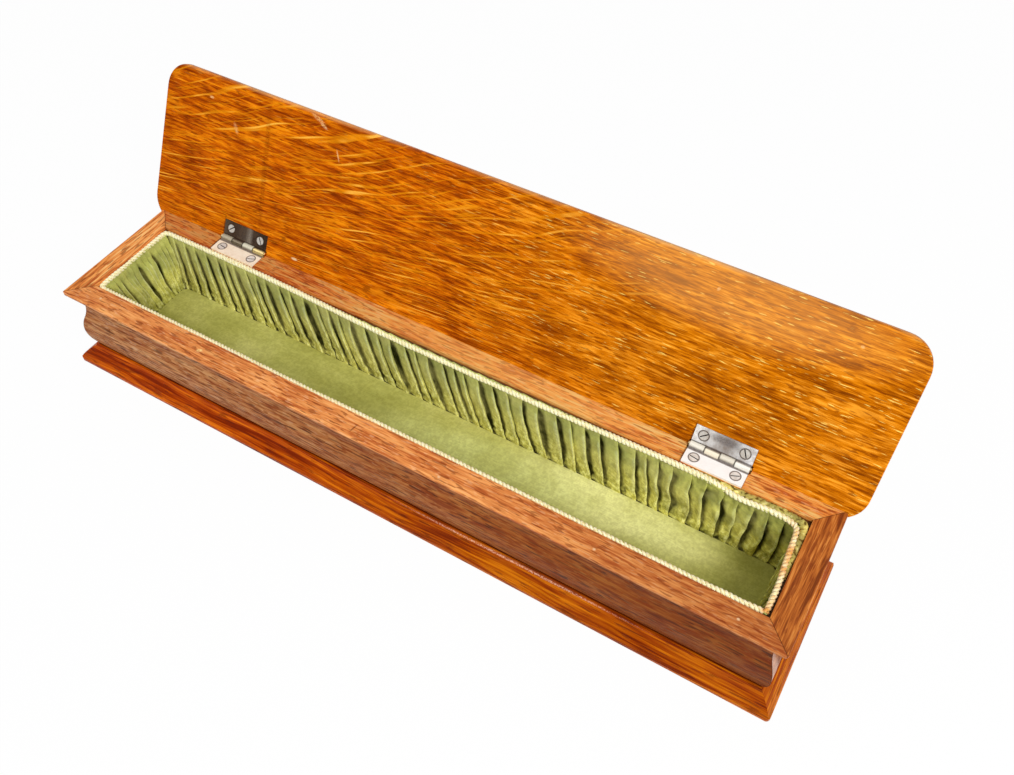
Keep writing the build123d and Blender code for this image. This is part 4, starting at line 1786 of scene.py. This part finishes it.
HINGE_LOOKS = {
    "left": HingeLook(
        pale=colour(255, 240, 216),
        dulled=colour(230, 200, 166),
        lid_metallic=0.5,
        lid_tarnish=0.35,
        reflection_places=(0.0, 0.2, 0.5, 0.6, 0.68, 1.0),
        reflection_tints=colours(
            (120, 104, 90), (88, 66, 52), (112, 96, 84), (176, 164, 150), (92, 74, 62), (72, 56, 46)
        ),
        knuckle_tints=colours((176, 164, 138), (124, 112, 90), (214, 208, 184), (232, 206, 138)),
    ),
    "right": HingeLook(
        pale=colour(255, 253, 250),
        dulled=colour(238, 234, 228),
        lid_metallic=0.1,
        lid_tarnish=0.5,
        reflection_places=(0.0, 0.25, 0.42, 0.55, 0.72, 1.0),
        reflection_tints=colours(
            (255, 254, 252), (232, 230, 228), (188, 182, 178), (160, 152, 148), (206, 204, 202),
            (255, 255, 255),
        ),
        knuckle_tints=colours((236, 230, 214), (246, 234, 208), (226, 218, 200), (250, 246, 234)),
        shadow=(colour(104, 96, 94),),
    ),
}


@dataclass
class Metalwork:
    """The hinges and all screws and brads."""

    nodes: dict[str, Piece]
    effects: Effects
    hinge: Triple
    screw_pitch: float = 17.4
    screw_from_axis: float = 5.4
    slot_depth: float = 0.45
    knuckle_shadow: Colour = colour(70, 46, 30)

    def _finish(self, node: str, label: str, *tints: Colour, **values: object) -> None:
        """Gives one node its own plated finish."""
        finish = PlateFinish(label, *tints, **values)
        dress(self.nodes[node], finish.build(self.effects))

    def _hinge(self, side: str, look: HingeLook) -> None:
        """Gives both leaves of a hinge and their screws their finishes."""
        start, end = (corner.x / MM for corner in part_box(f"{side}_hinge_box_leaf"))
        middle = 0.5 * (start + end)
        axis, level = self.hinge[1] / MM, self.hinge[2] / MM
        offsets = (middle - 0.5 * self.screw_pitch, middle + 0.5 * self.screw_pitch)
        on_lid = {"grain": Grain.LID, "hinge": Vector(self.hinge)}
        on_lid["rings"] = tuple((x, self.screw_from_axis) for x in offsets)
        on_box = {"face": level, "rings": tuple((x, axis - self.screw_from_axis) for x in offsets)}
        leaf = {"start_x": start, "length": end - start, "knuckles": look.knuckles()}
        # Painted shadows on both leaves under the knuckles.
        box_knuckle_shadow = Mark((middle, axis - 2.0), (90.0, 0.9), 0.0, self.knuckle_shadow, 0.9, 0.1)
        lid_knuckle_shadow = Mark((middle, 1.7), (90.0, 0.6), 0.0, self.knuckle_shadow, 0.8, 0.1)
        shadow = (Mark((middle, 6.8), (8.5, 2.4), 0.0, tint, 0.75, 0.3) for tint in look.shadow)
        self._finish(
            f"{side}_hinge_box_leaf", f"worn nickel with painted light, {side} box leaf", look.pale, look.dulled,
            roughness=0.3, metallic=0.1, marks=(box_knuckle_shadow,), **leaf, **on_box,
        )
        self._finish(
            f"{side}_hinge_lid_leaf", f"worn nickel with painted light, {side} lid leaf", look.pale, colour(110, 86, 62),
            roughness=0.24, metallic=look.lid_metallic, tarnish_share=look.lid_tarnish,
            stripes=tuple(zip(look.reflection_places, look.reflection_tints)),
            marks=(lid_knuckle_shadow, *shadow), **leaf, **on_lid,
        )
        for part, values in (("box", on_box), ("lid", on_lid)):
            self._finish(
                f"{side}_hinge_{part}_screws", f"nickel screw heads, {side} {part} leaf",
                colour(236, 232, 224), colour(150, 128, 104), roughness=0.28, metallic=0.3,
                slot_depth=self.slot_depth, **values,
            )

    def build(self) -> None:
        """Gives every metal piece its finish."""
        for side, look in HINGE_LOOKS.items():
            self._hinge(side, look)
        brass = PlateFinish("rubbed brass", *colours((226, 200, 140), (140, 110, 60)))
        steel = PlateFinish("plain steel", *colours((168, 164, 158), (96, 76, 60)), roughness=0.32)
        brass, steel = brass.build(self.effects), steel.build(self.effects)
        for name, node in self.nodes.items():
            if name.endswith("_pin"):
                dress(node, brass)
            if name in ("base_screws", "mitre_brads"):
                dress(node, steel)
        LOG.info("metalwork: two hinges, screws and brads")


@dataclass
class Cards:
    """The cards behind the silk."""

    nodes: dict[str, Piece]
    effects: Effects

    def build(self) -> None:
        """Gives every card its finish."""
        card = CardFinish("card darkened as painted shade").build(self.effects)
        for name, node in self.nodes.items():
            if name.endswith("_card"):
                dress(node, card)


@dataclass(frozen=True)
class Lamp:
    """A soft lamp, its place and size in metres."""

    name: str
    place: Triple
    size: float
    power: float
    tint: Triple = (1.0, 1.0, 1.0)


@dataclass
class Studio:
    """Pale floor, soft light and the camera, in metres and degrees.

    The camera looks at the target from an azimuth, elevation and distance. The flag is a dark
    card in front of the object, and the glow is how much of the floor's white is its own.
    """

    azimuth: float = 30.738
    elevation: float = 51.126
    roll: float = -0.44
    distance: float = 0.39553
    target: Triple = (0.030946, 0.020085, 0.0455)
    lens: float = 33.66
    sensor: float = 36.0
    floor_size: float = 8.0
    world_light: float = 0.46
    floor_glow: float = 0.96
    flag_near: float = -0.11
    flag_far: float = -0.55
    flag_left: float = -1.4
    flag_right: float = 0.75
    flag_height: float = 0.68
    flag_lift: float = 0.0005
    flag_tint: Colour = (0.004, 0.004, 0.004, 1.0)
    floor_tint: Colour = colour(240, 240, 240)
    lamps: tuple[Lamp, ...] = (
        Lamp("key", (0.81, -0.55, 0.9), 0.6, 12.5),
        Lamp("fill", (-0.7, -0.5, 1.0), 0.9, 2.0),
    )

    def camera(self) -> None:
        """Stands the camera where the picture was taken from."""
        azimuth, elevation, roll = (math.radians(v) for v in (self.azimuth, self.elevation, self.roll))
        back = Vector(
            (
                math.sin(azimuth) * math.cos(elevation),
                -math.cos(azimuth) * math.cos(elevation),
                math.sin(elevation),
            )
        )
        right = (-back).cross(UP).normalized()
        up = right.cross(-back)
        across = right * math.cos(roll) + up * math.sin(roll)
        above = up * math.cos(roll) - right * math.sin(roll)
        data = bpy.data.cameras.new("camera")
        data.sensor_fit = "HORIZONTAL"
        data.sensor_width = self.sensor
        data.lens = self.lens
        data.clip_start = 0.01
        camera = bpy.data.objects.new("camera", data)
        bpy.context.scene.collection.objects.link(camera)
        place = Vector(self.target) + back * self.distance
        turn = Matrix((across, above, back)).transposed().to_4x4()
        camera.matrix_world = Matrix.Translation(place) @ turn
        bpy.context.scene.camera = camera

    def _seen(self, bench: Bench) -> Socket:
        """1 for what the camera sees, straight or by reflection, and 0 for light on the object."""
        path = bench.node("ShaderNodeLightPath")
        names = ("Is Camera Ray", "Is Glossy Ray", "Is Transmission Ray")
        first, second, third = (path.outputs[name] for name in names)
        return bench.largest(bench.largest(first, second), third)

    def floor(self) -> None:
        """Lays the floor, white to the eye but with the object's shadow on it."""
        deselect()
        bpy.ops.mesh.primitive_plane_add(size=self.floor_size)
        floor = bpy.context.object
        floor.name = "floor"
        material = bpy.data.materials.new("pale floor")
        material.use_nodes = True
        bench = Bench(material.node_tree)
        material.node_tree.nodes.clear()
        matt = bench.node("ShaderNodeBsdfDiffuse")
        matt.inputs["Color"].default_value = self.floor_tint
        glow = bench.node("ShaderNodeEmission")
        glow.inputs["Strength"].default_value = 1.0
        mix = bench.node("ShaderNodeMixShader")
        bench.feed(mix.inputs[0], bench.times(self._seen(bench), self.floor_glow))
        bench.feed(mix.inputs[1], matt.outputs[0])
        bench.feed(mix.inputs[2], glow.outputs[0])
        output = bench.node("ShaderNodeOutputMaterial")
        bench.feed(output.inputs["Surface"], mix.outputs[0])
        floor.data.materials.append(material)

    def flag(self) -> None:
        """Stands a folded dark card in front, seen by reflections alone, to keep the varnish dark."""
        deselect()
        middle = 0.5 * (self.flag_left + self.flag_right)
        depth = self.flag_near - self.flag_far
        place = (middle, self.flag_near - 0.5 * depth, self.flag_lift)
        bpy.ops.mesh.primitive_plane_add(size=1.0, location=place)
        card = bpy.context.object
        card.name = "flag"
        bpy.ops.transform.resize(value=(self.flag_right - self.flag_left, depth, 1.0))
        bpy.ops.object.mode_set(mode="EDIT")
        bpy.ops.mesh.select_all(action="DESELECT")
        bpy.ops.object.mode_set(mode="OBJECT")
        for vertex in card.data.vertices:
            vertex.select = vertex.co.y < 0
        for edge in card.data.edges:
            edge.select = all(card.data.vertices[index].select for index in edge.vertices)
        bpy.ops.object.mode_set(mode="EDIT")
        bpy.ops.mesh.extrude_region_move(TRANSFORM_OT_translate={"value": (0.0, 0.0, self.flag_height)})
        bpy.ops.object.mode_set(mode="OBJECT")
        for ray in ("camera", "diffuse", "transmission", "volume_scatter", "shadow"):
            setattr(card, f"visible_{ray}", False)
        material = bpy.data.materials.new("dark card")
        material.use_nodes = True
        shader = material.node_tree.nodes["Principled BSDF"]
        shader.inputs["Base Color"].default_value = self.flag_tint
        shader.inputs["Roughness"].default_value = 1.0
        shader.inputs["Specular IOR Level"].default_value = 0.0
        card.data.materials.append(material)

    def light(self) -> None:
        """Lights the object softly from all round, and more from two lamps."""
        world = bpy.data.worlds.new("studio")
        bpy.context.scene.world = world
        world.use_nodes = True
        bench = Bench(world.node_tree)
        background = world.node_tree.nodes["Background"]
        background.inputs["Color"].default_value = (1.0, 1.0, 1.0, 1.0)
        extra = bench.times(self._seen(bench), 1.0 - self.world_light)
        bench.feed(background.inputs["Strength"], bench.plus(extra, self.world_light))
        for lamp in self.lamps:
            data = bpy.data.lights.new(lamp.name, "AREA")
            data.shape = "DISK"
            data.size = lamp.size
            data.energy = lamp.power
            data.color = lamp.tint
            holder = bpy.data.objects.new(lamp.name, data)
            bpy.context.scene.collection.objects.link(holder)
            holder.location = lamp.place
            holder.rotation_euler = (Vector() - Vector(lamp.place)).to_track_quat("-Z", "Y").to_euler()

    def build(self) -> None:
        """Sets up the camera, the floor and the light."""
        bpy.context.scene.view_settings.view_transform = "Standard"
        self.camera()
        self.floor()
        self.flag()
        self.light()
        LOG.info("studio: camera, floor, flag and %d lamps", len(self.lamps))


def main() -> None:
    """Builds the scene, piece by piece."""
    logging.basicConfig(level=logging.INFO, format="%(name)s: %(message)s")
    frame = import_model()
    hinge = tuple(frame["joints"][0]["pos_m"])
    Studio().build()
    effects = Effects()
    nodes = frame["nodes"]
    Carcass(nodes, effects, hinge).build()
    Metalwork(nodes, effects, hinge).build()
    Cards(nodes, effects).build()
    Lining(Bay.from_frame(), effects).build()


if __name__ == "__main__":
    main()
